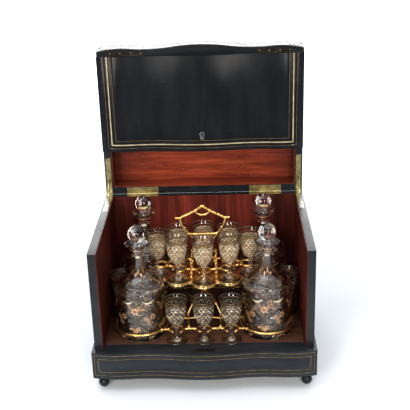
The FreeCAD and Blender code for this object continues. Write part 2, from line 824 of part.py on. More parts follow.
def make_flap():
    """The wavy front flap with its brass lines, keyhole, lock and hinges."""
    foot_z = wall_foot_z + cell("lid_gap")
    height = cell("wall_height") - cell("lid_gap")
    veneer = cell("flap_veneer")
    core = serpentine(size(0), size(0), front_y - veneer, foot_z, height)
    behind = serpentine(size(0), size(0), front_y, foot_z - 1, height + 2, cell("line_deep"))
    surface = cut(core, behind)
    strips = flap_line_frames(surface, front_lines_foot_z())
    keep("flap_stringing", group(*strips), "flap")
    clear = cell("flap_knuckle") + cell("knuckle_clear")
    leaf_z = wall_top_z - cell("leaf_thick")
    bed = join(flap_hinge_rod(0, 1, clear), flap_hinge_leaf(leaf_z, cell("leaf_thick") + 1))
    lock_x = cell("lock_width") * 0.5
    lock_y = front_y - cell("lock_deep")
    lock = box(-lock_x, lock_y, foot_z, lock_x * 2, cell("lock_deep"), cell("lock_height"))
    key_z = foot_z + cell("key_height")
    key_y = front_y - 30
    disc = rod(size(0), key_y, key_z, cell("escutcheon_radius"), size(40), Y_AXIS)
    tail_x = cell("escutcheon_radius") * 0.7
    tail = box(-tail_x, key_y, key_z - 8.5, tail_x * 2, size(40), size(8.5))
    plug = join(disc, tail)
    eye = rod(size(0), key_y - 1, key_z, cell("key_radius"), size(42), Y_AXIS)
    slot_x = cell("key_slot") * 0.5
    slot = box(-slot_x, key_y - 1, key_z - 6.5, slot_x * 2, size(42), size(6.5))
    keyhole = join(eye, slot)
    before_lock = box(size(-20), key_y, key_z - 20, size(40), size(30) - cell("lock_deep"), size(40))
    escutcheon = cut(common(common(core, plug), before_lock), keyhole)
    keep("escutcheon", escutcheon, "flap")
    screws = flap_hinge_screws(wall_top_z, True)
    keep("flap_screws", both_sides_of(screws), "flap")
    tools = list(strips) + [bed, mirrored(bed), lock, plug] + screws
    tools += [mirrored(one) for one in screws]
    keep("front_flap", cut(core, *tools), "flap")
    sheet_block = box(-half_width, front_y - veneer, foot_z, half_width * 2, veneer, height)
    keep("flap_lining", cut(sheet_block, lock, bed, mirrored(bed)), "flap")
    make_lock(lock, keyhole, foot_z)
    make_flap_hinges(leaf_z)


def make_lock(lock, keyhole, foot_z):
    """A cased lock let into the flap, with a bolt that slides down into the plinth's plate."""
    bolt_x = cell("bolt_width") * 0.5
    clear = cell("bolt_clear")
    bolt_y = front_y - cell("strike_y") - cell("bolt_thick") * 0.5
    bolt_long = cell("bolt_long")
    channel = box(-bolt_x - clear, bolt_y - clear, foot_z - 1, bolt_x * 2 + clear * 2,
                  cell("bolt_thick") + clear * 2, bolt_long + 6)
    keep("lock_case", cut(lock, channel, keyhole), "flap")
    bolt = box(-bolt_x, bolt_y, foot_z + 0.4, bolt_x * 2, cell("bolt_thick"), bolt_long)
    keep("lock_bolt", bolt, "flap")


def make_flap_hinges(leaf_z):
    """Two long thin brass hinges between the lid's front edge and the flap's top."""
    radius = cell("flap_knuckle")
    clear = radius + cell("knuckle_clear")
    bore = flap_hinge_rod(-0.02, 1.02, cell("flap_pin") + cell("pin_clear"))
    thick = cell("leaf_thick")
    lid_leaf = flap_hinge_leaf(lid_foot_z, thick)
    lid_knuckles = [flap_hinge_rod(start, start + 0.19, radius) for start in (0, 0.405, 0.81)]
    flap_gaps = [flap_hinge_rod(start, start + 0.215, clear) for start in (0.19, 0.595)]
    lid_screws = flap_hinge_screws(lid_foot_z, False)
    lid_part = cut(join(cut(lid_leaf, *flap_gaps), *lid_knuckles), bore, *lid_screws)
    keep("flap_hinge_lid_leaves", both_sides(lid_part), "lid")
    flap_leaf = flap_hinge_leaf(leaf_z, thick)
    flap_knuckles = [flap_hinge_rod(start, start + 0.205, radius) for start in (0.195, 0.6)]
    lid_gaps = [flap_hinge_rod(start, end, clear)
                for start, end in ((-0.01, 0.195), (0.4, 0.6), (0.805, 1.01))]
    flap_screws = flap_hinge_screws(wall_top_z, True)
    flap_part = cut(join(cut(flap_leaf, *lid_gaps), *flap_knuckles), bore, *flap_screws)
    keep("flap_hinge_flap_leaves", both_sides(flap_part), "flap")
    keep("flap_hinge_pins", both_sides(flap_hinge_rod(0, 1, cell("flap_pin"))), "flap")


# Carrier

def free_direction(wires, normal):
    """The direction in the wires' plane that lies furthest from every wire."""
    across = normal.cross(wires[0])
    turns = [math.radians(5 * step) for step in range(72)]
    candidates = [wires[0] * math.cos(turn) + across * math.sin(turn) for turn in turns]
    return max(candidates, key=lambda one: min(one.getAngle(wire) for wire in wires))


def chain(label, paths, radius, knot, normal):
    """One solid of wires that run from point to point in a plane, with a ball at each point.

    Points and radii are the sheet's numbers. Each ball's seam is turned away from its wires.
    """
    solids = []
    joints = {}
    for path in paths:
        for start, end in zip(path, path[1:]):
            run = end.sub(start)
            solids.append(Part.makeCylinder(radius, run.Length, start, run))
            way = FreeCAD.Vector(run).normalize()
            joints.setdefault(tuple(start), []).append(way)
            joints.setdefault(tuple(end), []).append(way * -1.0)
    for point, wires in joints.items():
        seam = free_direction(wires, normal)
        bead = Part.makeSphere(knot)
        turn = FreeCAD.Rotation(seam, normal.cross(seam), normal, "ZXY")
        bead.Placement = FreeCAD.Placement(FreeCAD.Vector(*point), turn)
        solids.append(bead)
    feature = doc.addObject("Part::Feature", label)
    feature.Shape = solids[0].multiFuse(solids[1:])
    return feature


def carrier_point(x, y, z):
    """A point of the carrier from its middle, with heights above its board."""
    return FreeCAD.Vector(x, carrier_y.value + y, carrier_z.value + z)


def knot(x, y, z, free):
    """A ball on the flat wires of a lattice, its seam turned to an angle free of them."""
    bead = doc.addObject("Part::Sphere", "knot")
    bind(bead, Radius=cell("knot"))
    bead.Placement.Rotation = FreeCAD.Rotation(Z_AXIS, free)
    place(bead, x, y, z)
    return bead


def clip(x, y, z, facing):
    """A wire clip round a glass's stem, open towards an angle from +X, with a ball at each tip."""
    gap = cell("clip_open").value
    radius = cell("clip_radius")
    pieces = [hoop(x, y, z, radius, cell("wire"), facing + gap, 360.0 - 2 * gap)]
    for angle, free in ((facing + gap, facing + gap - 90), (facing - gap, facing - gap + 90)):
        tip_x = x + radius * math.cos(math.radians(angle))
        tip_y = y + radius * math.sin(math.radians(angle))
        pieces.append(knot(tip_x, tip_y, z, free))
    return pieces


def bar(start, end, z, start_hub=None, end_hub=None, free_side=90.0):
    """A straight wire between two points of a lattice, with a knot in its middle.

    An end that meets a ring or a clip gets a knot too, whose seam faces that hoop's hub.
    """
    x1, y1 = start
    x2, y2 = end
    foot = FreeCAD.Vector(x1.value, y1.value, 0)
    run = FreeCAD.Vector(x2.value, y2.value, 0).sub(foot)
    wire = doc.addObject("Part::Cylinder", "bar")
    wire.Height = run.Length
    bind(wire, Radius=cell("bar_wire"))
    wire.Placement.Rotation = FreeCAD.Rotation(Z_AXIS, run)
    place(wire, x1, y1, z)
    heading = math.degrees(math.atan2(run.y, run.x))
    pieces = [wire, knot((x1 + x2) * 0.5, (y1 + y2) * 0.5, z, heading + free_side)]
    for (x, y), hub in ((start, start_hub), (end, end_hub)):
        if hub is not None:
            inward = math.atan2(hub[1].value - y.value, hub[0].value - x.value)
            pieces.append(knot(x, y, z, math.degrees(inward)))
    return pieces


# The rings' points where bars meet them, as angles at the ring's middle from the X axis
HOLD_TURN = math.radians(13.5)
REACH_TURN = math.radians(37.0)


def ring_point(side, end, turn, outward):
    """A point on a decanter ring's inner half, ahead of its middle or behind it."""
    x = (cell("decanter_x") - cell("ring_radius") * math.cos(turn)) * side
    y = (cell("decanter_y") + cell("ring_radius") * (math.sin(turn) * outward)) * end
    return x, carrier_y + y


def make_lower_lattice():
    """The lower gilt lattice: four decanter rings, eight stem clips and the bars between."""
    z = carrier_z + cell("lattice_z")
    clip_x = cell("glass_step_x")
    radius = cell("clip_radius")
    pieces = []
    for end, facing in ((-1, -90.0), (1, 90.0)):
        row_y = carrier_y + cell("clip_in_y") * end
        ring_y = carrier_y + cell("decanter_y") * end
        middle = (size(0), row_y)
        for side in (-1, 0, 1):
            pieces += clip(clip_x * side, row_y, z, facing)
        for side in (-1, 1):
            ring = (cell("decanter_x") * side, ring_y)
            outer = 0.0 if side > 0 else 180.0
            pieces.append(hoop(ring[0], ring_y, z, cell("ring_radius"), cell("wire"), outer))
            near = (clip_x * side, row_y)
            pieces += bar((radius * side, row_y), ((clip_x - radius) * side, row_y), z, middle, near)
            pieces += bar(((clip_x + radius) * side, row_y), ring_point(side, end, REACH_TURN, 1),
                          z, near, ring)
        left = (-cell("decanter_x"), ring_y)
        right = (cell("decanter_x"), ring_y)
        pieces += bar(ring_point(-1, end, HOLD_TURN, -1), ring_point(1, end, HOLD_TURN, -1),
                      z, left, right)
        pieces += [knot(cell("leg_x") * side, leg_row_y(end), z, 90.0) for side in (-1, 1)]
    for side, facing in ((-1, 180.0), (1, 0.0)):
        hub = (cell("side_clip_x") * side, carrier_y)
        pieces += clip(hub[0], carrier_y, z, facing)
        front = ring_point(side, -1, REACH_TURN, -1)
        back = ring_point(side, 1, REACH_TURN, -1)
        pieces += bar(front, back, z, (cell("decanter_x") * side, carrier_y - cell("decanter_y")),
                      (cell("decanter_x") * side, carrier_y + cell("decanter_y")), 90.0 * side)
        pieces += bar((hub[0] - radius * side, carrier_y), (front[0], carrier_y), z, hub)
    holes = [rod(cell("leg_x") * side, leg_row_y(end), carrier_z, cell("wire"), cell("lattice_z") * 2)
             for side in (-1, 1) for end in (-1, 1)]
    keep("lower_lattice", cut(join(*pieces), *holes))


def leg_row_y(end):
    """Where the front or back pair of branches stands."""
    return ring_point(1, end, HOLD_TURN, -1)[1]


def make_board():
    """The thin board under the carrier, on which the decanters and lower glasses stand."""
    clear = cell("board_clear")
    x = inside_x - clear
    y = front_y + cell("board_front")
    end_y = back_y - wall_thick - clear
    z = wall_foot_z - cell("floor_drop") + cell("board_gap")
    height = carrier_z - z
    keep("carrier_board", box(-x, y, z, x * 2, end_y - y, height))


def make_legs():
    """Four gilt branches that rise from the board and meet under the upper tray."""
    x = cell("leg_x").value
    y = leg_row_y(1).value - carrier_y.value
    bend = cell("leg_bend_z").value
    lean = 0.72
    below = box(size(-60), carrier_y - 80, carrier_z - 10, size(120), size(160), size(10))
    legs = []
    for side in (-1, 1):
        for end in (-1, 1):
            path = [
                carrier_point(x * side, y * end, 0),
                carrier_point(x * side, y * end, bend * lean),
                carrier_point(x * side * lean, y * end * lean, bend),
                carrier_point(0, 0, cell("boss_z").value),
            ]
            across = FreeCAD.Vector(-y * end, x * side, 0).normalize()
            branch = chain("branch", [path], cell("wire").value, cell("knot").value, across)
            foot = rod(cell("leg_x") * side, leg_row_y(end), carrier_z, cell("leg_foot"), size(1.6))
            legs.append(cut(join(branch, foot), below, boss_ball()))
    keep("carrier_legs", group(*legs))


def boss_ball():
    """The round boss where the branches meet."""
    return ball(size(0), carrier_y, carrier_z + cell("boss_z"), cell("boss_radius"))


def upper_places():
    """Where the eight upper glasses stand, from the carrier's middle."""
    near_x = cell("upper_next_x")
    return [
        (size(0), -cell("upper_mid_y")),
        (-near_x, -cell("upper_next_y")),
        (near_x, -cell("upper_next_y")),
        (-cell("upper_side_x"), size(0)),
        (cell("upper_side_x"), size(0)),
        (-near_x, cell("upper_next_y")),
        (near_x, cell("upper_next_y")),
        (size(0), cell("upper_mid_y")),
    ]


def make_upper_tray():
    """The upper tier's flat tray, a lobe round each of its eight glasses, on a boss and stem."""
    top_z = carrier_z + cell("tray_z")
    thick = cell("tray_thick")
    low_z = top_z - thick
    lobes = [rod(x, carrier_y + y, low_z, cell("scallop"), thick) for x, y in upper_places()]
    reaches = ((cell("upper_next_x"), cell("tray_middle_y")), (cell("upper_side_x"), cell("tray_side_y")))
    slabs = [box(-x, carrier_y - y, low_z, x * 2, y * 2, thick) for x, y in reaches]
    keep("upper_tray", join(*slabs, *lobes))
    collar_thick = cell("tray_collar")
    boss_z = carrier_z + cell("boss_z")
    stem = rod(size(0), carrier_y, boss_z, cell("wire") * 1.6, low_z - boss_z)
    collar = rod(size(0), carrier_y, low_z - collar_thick, cell("boss_radius"), collar_thick)
    keep("centre_boss", join(stem, boss_ball(), collar))


def upper_clip_place(x, y):
    """A stem clip's middle, a little inside its glass, and the way that it opens."""
    inward = cell("upper_clip_in").value
    facing = upper_facing(x, y)
    shift_x = -inward * math.cos(math.radians(facing))
    shift_y = -inward * math.sin(math.radians(facing))
    return x + shift_x, y + shift_y, facing


def upper_facing(x, y):
    """The outward direction of an upper clip, in degrees from +X."""
    if x.value == 0:
        return 90.0 if y.value > 0 else -90.0
    if y.value == 0:
        return 0.0 if x.value > 0 else 180.0
    lean = cell("upper_lean").value
    if x.value > 0:
        return lean if y.value > 0 else -lean
    return 180.0 - lean if y.value > 0 else 180.0 + lean


def make_upper_lattice():
    """The upper gilt lattice: eight stem clips joined by a wavy oval of short bars."""
    z = carrier_z + cell("upper_lattice_z")
    pieces = []
    hubs = []
    for x, y in upper_places():
        clip_x, clip_y, facing = upper_clip_place(x, y)
        pieces += clip(clip_x, carrier_y + clip_y, z, facing)
        hubs.append((clip_x, carrier_y + clip_y))
    radius = cell("clip_radius").value
    for first, second in ((0, 1), (0, 2), (1, 3), (2, 4), (3, 5), (4, 6), (5, 7), (6, 7)):
        x1, y1 = hubs[first]
        x2, y2 = hubs[second]
        run = math.hypot(x2.value - x1.value, y2.value - y1.value)
        step_x = (x2.value - x1.value) / run * radius
        step_y = (y2.value - y1.value) / run * radius
        start = (x1 + step_x, y1 + step_y)
        end = (x2 - step_x, y2 - step_y)
        pieces += bar(start, end, z, hubs[first], hubs[second])
    posts = [rod(cell("post_x") * side, carrier_y + cell("post_y") * end, z - 10, cell("wire"), size(20))
             for side in (-1, 1) for end in (-1, 1)]
    keep("upper_lattice", cut(join(*pieces), *posts))


def make_posts():
    """Four knotted posts that carry the upper lattice on the tray."""
    x = cell("post_x").value
    y = cell("post_y").value
    low = cell("tray_z").value
    top = cell("post_top_z").value
    posts = []
    for side in (-1, 1):
        for end in (-1, 1):
            heights = (low, low + 8.0, top - 5.0, top)
            posts.append([carrier_point(x * side, y * end, height) for height in heights])
    branches = [chain("post", [post], cell("wire").value, cell("knot").value, Y_AXIS) for post in posts]
    below = box(size(-60), carrier_y - 60, carrier_z + cell("tray_z") - 10, size(120), size(120), size(10))
    keep("upper_posts", group(*[cut(branch, below) for branch in branches]))


def make_handle():
    """The branch handle: a five-sided loop with stub ends and a small eye at its top."""
    foot_x = cell("handle_foot_x").value
    side_x = cell("handle_side_x").value
    stub_x = cell("handle_stub_x").value
    loop_x = cell("handle_loop_x").value
    foot_z = cell("handle_foot_z").value
    side_z = cell("handle_side_z").value
    top_z = cell("handle_top_z").value
    loop_z = cell("handle_loop_z").value
    paths = [[carrier_point(-foot_x, 0, foot_z), carrier_point(foot_x, 0, foot_z)]]
    for side in (-1, 1):
        foot = carrier_point(foot_x * side, 0, foot_z)
        knee = carrier_point((foot_x + side_x) * 0.5 * side, 0, foot_z * 0.6 + side_z * 0.4)
        corner = carrier_point(side_x * side, 0, side_z)
        shoulder = carrier_point(loop_x * side, 0, (side_z + top_z) * 0.5 + 3.0)
        top = carrier_point(0, 0, top_z)
        paths.append([foot, knee, corner, shoulder, top])
        paths.append([corner, carrier_point(stub_x * side, 0, side_z + 0.5)])
        tail = carrier_point((foot_x - 4.0) * side, 0, foot_z - 6.0)
        paths.append([foot, tail])
        eye = carrier_point(loop_x * 0.5 * side, 0, loop_z + 1.0)
        paths.append([shoulder, eye, carrier_point(0, 0, loop_z)])
    keep("carrier_handle", chain("handle_branches", paths, cell("handle_wire").value,
                                 cell("knot").value, Y_AXIS))
    low = carrier_z + cell("tray_z")
    height = cell("handle_foot_z") - cell("tray_z") - cell("handle_wire")
    column = rod(size(0), carrier_y, low, cell("column_radius"), height)
    collar = rod(size(0), carrier_y, low, cell("boss_radius"), cell("tray_collar"))
    knots = [ball(size(0), carrier_y, low + height * rise, cell("knot") * 1.4)
             for rise in (0.25, 0.5, 0.75)]
    keep("handle_column", join(column, collar, *knots))


# Glass

def glass_profile():
    """A cordial glass: round foot, knopped stem, and a hollow bowl with a flared rim."""
    wall = cell("glass_wall")
    return [
        (None, None, None),
        (cell("glass_foot"), None, None),
        (cell("glass_foot"), cell("glass_foot_edge"), None),
        (cell("glass_cone"), cell("glass_cone_z"), None),
        (cell("glass_stem"), cell("glass_stem_z"), None),
        (cell("glass_stem"), cell("glass_stem_top_z"), None),
        (cell("glass_knop"), cell("glass_knop_z"), None),
        (cell("glass_stem"), cell("glass_neck_z"), (1, size(16.0))),
        (cell("glass_bowl"), cell("glass_bowl_z"), (1, size(40.0))),
        (cell("glass_waist"), cell("glass_waist_z"), (-1, size(24.0))),
        (cell("glass_rim"), cell("glass_height"), None),
        (cell("glass_rim") - wall * 0.6, cell("glass_height"), (1, size(24.0))),
        (cell("glass_waist") - wall, cell("glass_waist_z"), (-1, size(40.0))),
        (cell("glass_bowl") - wall, cell("glass_bowl_z"), (-1, size(16.0))),
        (None, cell("glass_well_z"), None),
    ]


def make_glasses():
    """Sixteen glasses: eight on the board below, and eight on the upper tray."""
    profile = glass_profile()
    row_y = cell("glass_row_y")
    step_x = cell("glass_step_x")
    names = ((-1, "left"), (0, "middle"), (1, "right"))
    for side, name in names:
        keep("lower_front_glass_" + name,
             turned("lower_front_glass_" + name, profile, step_x * side, carrier_y - row_y,
                    carrier_z + cell("stand_gap")))
    inner = [turned("lower_back_glass_" + name, profile, step_x * side, carrier_y + row_y, carrier_z)
             for side, name in names]
    inner += [turned("lower_side_glass_" + name, profile, cell("glass_side_x") * side,
                     carrier_y, carrier_z)
              for side, name in ((-1, "left"), (1, "right"))]
    keep("lower_inner_glasses", group(*inner))
    upper_names = ("front_middle", "front_left", "front_right", "side_left",
                   "side_right", "back_left", "back_right", "back_middle")
    stand_z = carrier_z + cell("tray_z") + cell("stand_gap")
    for name, (x, y) in zip(upper_names, upper_places()):
        label = "upper_glass_" + name
        keep(label, turned(label, profile, x, carrier_y + y, stand_z))


def decanter_profile():
    """A decanter: thick base, straight body, round shoulder, waisted neck and wide lip."""
    body = cell("decanter_body")
    wall = cell("decanter_wall")
    return [
        (None, None, None),
        (cell("decanter_foot"), None, None),
        (body, cell("decanter_foot_z"), None),
        (body, cell("shoulder_z") - cell("shoulder_round"), (1, cell("shoulder_round") * 1.6)),
        (body - cell("shoulder_round"), cell("shoulder_z"), None),
        (cell("neck_foot") + 6, cell("neck_foot_z") - 2.5, (-1, size(9.0))),
        (cell("neck_foot"), cell("neck_foot_z") + 3, None),
        (cell("neck_waist"), cell("neck_waist_z"), None),
        (cell("lip_under"), cell("neck_lip_z"), (-1, size(12.0))),
        (cell("lip"), cell("lip_z") - cell("lip_thick"), None),
        (cell("lip"), cell("lip_z"), None),
        (cell("bore_mouth"), cell("neck_lip_z") + 1, None),
        (cell("bore"), cell("stopper_foot_z") - 1, None),
        (cell("bore"), cell("neck_foot_z") + 4, None),
        (cell("neck_foot") + 4, cell("neck_foot_z") - 6, None),
        (body - wall - 3, cell("shoulder_z") - 6, (-1, size(6.0))),
        (body - wall, cell("shoulder_z") - 11, None),
        (body - wall, cell("decanter_base") + 3, (-1, size(5.0))),
        (body - wall - 3, cell("decanter_base"), None),
        (None, cell("decanter_base"), None),
    ]


def stopper_profile():
    """The ground plug and narrow waist of a ball stopper."""
    clear = cell("stopper_clear")
    return [
        (None, cell("stopper_foot_z"), None),
        (cell("bore") - clear - 0.02, cell("stopper_foot_z"), None),
        (cell("bore_mouth") - clear - 0.16, cell("neck_lip_z") - 0.5, None),
        (cell("stopper_waist"), cell("neck_lip_z") + 3, None),
        (cell("stopper_waist"), cell("ball_z") - cell("ball") * 0.8, None),
        (None, cell("ball_z") - cell("ball") * 0.8, None),
    ]


def make_decanters():
    """Four decanters with ball stoppers, one in each ring."""
    places = ((-1, -1, "front_left"), (1, -1, "front_right"), (-1, 1, "back_left"), (1, 1, "back_right"))
    for side, end, name in places:
        x = cell("decanter_x") * side
        y = carrier_y + cell("decanter_y") * end
        label = "decanter_" + name
        z = carrier_z + cell("stand_gap")
        keep(label, turned(label, decanter_profile(), x, y, z))
        label = "stopper_" + name
        plug = turned(label + "_plug", stopper_profile(), x, y, z)
        keep(label, join(plug, ball(x, y, z + cell("ball_z"), cell("ball"))))


make_feet()
make_plinth()
make_walls()
make_butt_hinges()
make_lid()
make_quadrants()
make_flap()
make_board()
make_lower_lattice()
make_legs()
make_upper_tray()
make_upper_lattice()
make_posts()
make_handle()
make_glasses()
make_decanters()
doc.recompute()

failed = [thing.Label for thing in doc.Objects if "Invalid" in thing.State or "Error" in thing.State]
if failed:
    raise SystemExit("failed objects: %s" % failed)
for part in parts:
    if part.Shape.isNull() or not part.Shape.isValid() or not part.Shape.Solids:
        raise SystemExit("bad shape: %s" % part.Label)

os.makedirs("parts", exist_ok=True)
for part in parts:
    part.Shape.exportStep("parts/%s.step" % part.Label)
    limits = part.Shape.BoundBox
    print("%-26s %2d solid(s) %10.0f mm3  z %6.1f to %6.1f" % (
        part.Label, len(part.Shape.Solids), part.Shape.Volume, limits.ZMin, limits.ZMax))
print(len(parts), "nodes")
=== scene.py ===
"""An ebonised cordial box, open, with its decanters, glasses and gilt carrier, on a pale floor."""

import json
from math import atan2, cos, hypot, pi, radians, sin, sqrt, tau

import bpy
import numpy as np
from mathutils import Matrix, Vector, noise

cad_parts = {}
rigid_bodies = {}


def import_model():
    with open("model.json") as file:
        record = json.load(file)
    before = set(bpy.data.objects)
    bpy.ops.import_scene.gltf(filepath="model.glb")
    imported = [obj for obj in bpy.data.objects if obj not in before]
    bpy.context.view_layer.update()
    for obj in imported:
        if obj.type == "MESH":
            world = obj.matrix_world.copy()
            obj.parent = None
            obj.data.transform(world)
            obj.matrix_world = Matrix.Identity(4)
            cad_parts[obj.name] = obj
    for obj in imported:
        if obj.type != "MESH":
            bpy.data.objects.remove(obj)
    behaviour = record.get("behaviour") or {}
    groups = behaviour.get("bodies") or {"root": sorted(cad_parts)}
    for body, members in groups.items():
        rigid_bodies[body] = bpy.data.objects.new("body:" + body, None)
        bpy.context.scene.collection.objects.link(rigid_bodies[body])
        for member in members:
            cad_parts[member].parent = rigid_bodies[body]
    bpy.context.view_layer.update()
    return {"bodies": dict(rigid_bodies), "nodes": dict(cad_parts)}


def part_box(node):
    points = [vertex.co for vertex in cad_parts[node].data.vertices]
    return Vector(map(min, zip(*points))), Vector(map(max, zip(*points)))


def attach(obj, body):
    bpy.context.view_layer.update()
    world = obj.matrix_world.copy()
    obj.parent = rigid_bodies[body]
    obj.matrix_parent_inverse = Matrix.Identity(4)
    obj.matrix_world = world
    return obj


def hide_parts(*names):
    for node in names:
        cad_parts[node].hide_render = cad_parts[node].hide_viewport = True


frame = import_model()
nodes = frame["nodes"]

MM = 0.001
TURN = tau


def new_object(name, data):
    """An object in the scene."""
    made = bpy.data.objects.new(name, data)
    bpy.context.scene.collection.objects.link(made)
    return made


# Camera: angles in degrees, place in metres, lens and sensor in millimetres

CAMERA_ANGLES = (22.386, -1.638, -1.717)
CAMERA_PLACE = (0.0382, -1.2334, 0.752)
CAMERA_LENS = 74.97
CAMERA_SENSOR = 36
CAMERA_SHIFT = (0.0018, 0.0023)
FAR_CLIP = 60


def aim_camera():
    """The photograph's viewpoint: high in front, a little to the right of the middle."""
    pitch, yaw, roll = (radians(angle) for angle in CAMERA_ANGLES)
    ahead = Vector((sin(yaw) * cos(pitch), cos(yaw) * cos(pitch), -sin(pitch)))
    level = Vector((cos(yaw), -sin(yaw), 0))
    above = level.cross(ahead)
    right = level * cos(roll) + above * sin(roll)
    up = above * cos(roll) - level * sin(roll)
    data = bpy.data.cameras.new("camera")
    data.lens = CAMERA_LENS
    data.sensor_width = CAMERA_SENSOR
    data.shift_x, data.shift_y = CAMERA_SHIFT
    data.clip_end = FAR_CLIP
    camera = new_object("camera", data)
    turn = Matrix((right, up, -ahead)).transposed()
    camera.matrix_world = Matrix.Translation(CAMERA_PLACE) @ turn.to_4x4()
    bpy.context.scene.camera = camera


aim_camera()


# Materials

class Nodes:
    """A node tree, with short ways to add to it."""

    def __init__(self, owner):
        owner.use_nodes = True
        self.tree = owner.node_tree

    def node(self, kind, **values):
        """A new node, with constants on its sockets."""
        node = self.tree.nodes.new("ShaderNode" + kind)
        for key, value in values.items():
            node.inputs[key].default_value = value
        return node

    def link(self, source, socket):
        self.tree.links.new(source, socket)

    def feed(self, value, socket):
        """Puts another socket, a number or a colour into a socket."""
        if isinstance(value, bpy.types.NodeSocket):
            self.link(value, socket)
        elif isinstance(value, (int, float)):
            socket.default_value = value
        else:
            socket.default_value = (*value, 1)

    def maths(self, operation, *values):
        """A sum on sockets and numbers."""
        node = self.node("Math")
        node.operation = operation
        for value, socket in zip(values, node.inputs):
            self.feed(value, socket)
        return node.outputs[0]

    def ramp(self, source, *stops):
        """Colours or greys at places from 0 to 1."""
        node = self.node("ValToRGB")
        band = node.color_ramp
        while len(band.elements) < len(stops):
            band.elements.new(0.5)
        for element, (place, colour) in zip(band.elements, stops):
            element.position = place
            if isinstance(colour, (int, float)):
                colour = (colour, colour, colour)
            element.color = (*colour, 1)
        self.link(source, node.inputs["Fac"])
        return node.outputs["Color"]


class Finish(Nodes):
    """A node material round one Principled shader, with textures placed by the object's own frame."""

    def __init__(self, name):
        self.material = bpy.data.materials.new(name)
        super().__init__(self.material)
        self.tree.nodes.clear()
        self.shader = self.node("BsdfPrincipled")
        self.link(self.shader.outputs[0], self.node("OutputMaterial").inputs["Surface"])
        self.coords = self.node("TexCoord").outputs["Object"]
        self.height = None

    def set(self, **values):
        """Constants on the shader's own sockets."""
        for key, value in values.items():
            self.shader.inputs[key.replace("_", " ")].default_value = value

    def wire(self, source, socket):
        """A changing value on one of the shader's sockets."""
        self.link(source, self.shader.inputs[socket])

    def texture(self, kind, stretch, turn=(0, 0, 0), **values):
        """A texture that is stretched and turned in the object's own frame."""
        mapping = self.node("Mapping", Scale=stretch, Rotation=turn)
        self.link(self.coords, mapping.inputs["Vector"])
        texture = self.node(kind, Scale=1, **values)
        self.link(mapping.outputs[0], texture.inputs["Vector"])
        return texture.outputs

    def noise(self, stretch, detail=4, roughness=0.55, distortion=0, turn=(0, 0, 0)):
        return self.texture("TexNoise", stretch, turn, Detail=detail, Roughness=roughness,
                            Distortion=distortion)["Fac"]

    def specks(self, stretch):
        """The distance from scattered points."""
        return self.texture("TexVoronoi", stretch)["Distance"]

    def facets(self, stretch):
        """An even random grey for each cell of a broken pattern."""
        split = self.node("SeparateColor")
        self.link(self.texture("TexVoronoi", stretch)["Color"], split.inputs[0])
        return split.outputs[0]

    def axis(self, letter):
        """One of the object's own coordinates, in metres."""
        parts = self.node("SeparateXYZ")
        self.link(self.coords, parts.inputs[0])
        return parts.outputs[letter]

    def mix(self, first, second, share, mode="MIX"):
        """Two colours mixed by a share from 0 to 1."""
        node = self.node("Mix")
        node.data_type = "RGBA"
        node.blend_type = mode
        for value, index in ((share, 0), (first, 6), (second, 7)):
            self.feed(value, node.inputs[index])
        return node.outputs[2]

    def times(self, first, second):
        """A colour darkened by another."""
        return self.mix(first, second, 1, "MULTIPLY")

    def bump(self, source, strength, distance):
        """A relief over the ones that are already there."""
        node = self.node("Bump", Strength=strength, Distance=distance)
        self.link(source, node.inputs["Height"])
        if self.height is not None:
            self.link(self.height, node.inputs["Normal"])
        self.height = node.outputs[0]
        self.wire(self.height, "Normal")


BLACK = (0.0042, 0.005, 0.0065)
POLISHED_BLACK = (0.013, 0.0155, 0.019)
RUBBED_BLACK = (0.055, 0.06, 0.065)
DUST = (0.85, 0.8, 0.75)
HOLLOW_BROWN = (0.16, 0.075, 0.02)
VARNISH_SHINE = 0.18
GLASS_TINT = (0.985, 0.985, 0.97)
GLASS_ROUGH = 0.008
GLASS_IOR = 1.54
CUT_FOOT = 0.0275
CUT_TOP = 0.0615
DIAMONDS_ROUND = 14
DIAMONDS_A_METRE = 125
CUT_COVER = 0.8


def scaled(values, factor):
    return tuple(value * factor for value in values)


def ebonised(name, tone=1, sheen=0.16, stretch=(7, 200, 26), shine=0.34):
    """Black-polished wood: streaks, cloudy polish and fine rubbed scratches."""
    skin = Finish(name)
    streak = skin.noise(stretch, 6, 0.6)
    cloud = skin.noise((9, 9, 9), 3)
    scratch = skin.noise((22, 22, 900), 2, 0.5, 0.6, (0.5, 0.3, 0.9))
    base = skin.ramp(streak, (0.3, scaled(BLACK, tone)), (0.72, scaled(POLISHED_BLACK, tone)))
    marks = skin.ramp(scratch, (0.7, 0), (0.78, 0.55))
    skin.wire(skin.mix(base, scaled(RUBBED_BLACK, tone), marks), "Base Color")
    skin.wire(skin.ramp(cloud, (0.3, sheen), (0.7, sheen + 0.14)), "Roughness")
    skin.set(Specular_IOR_Level=shine)
    skin.bump(streak, 0.06, 0.0004)
    return skin.material


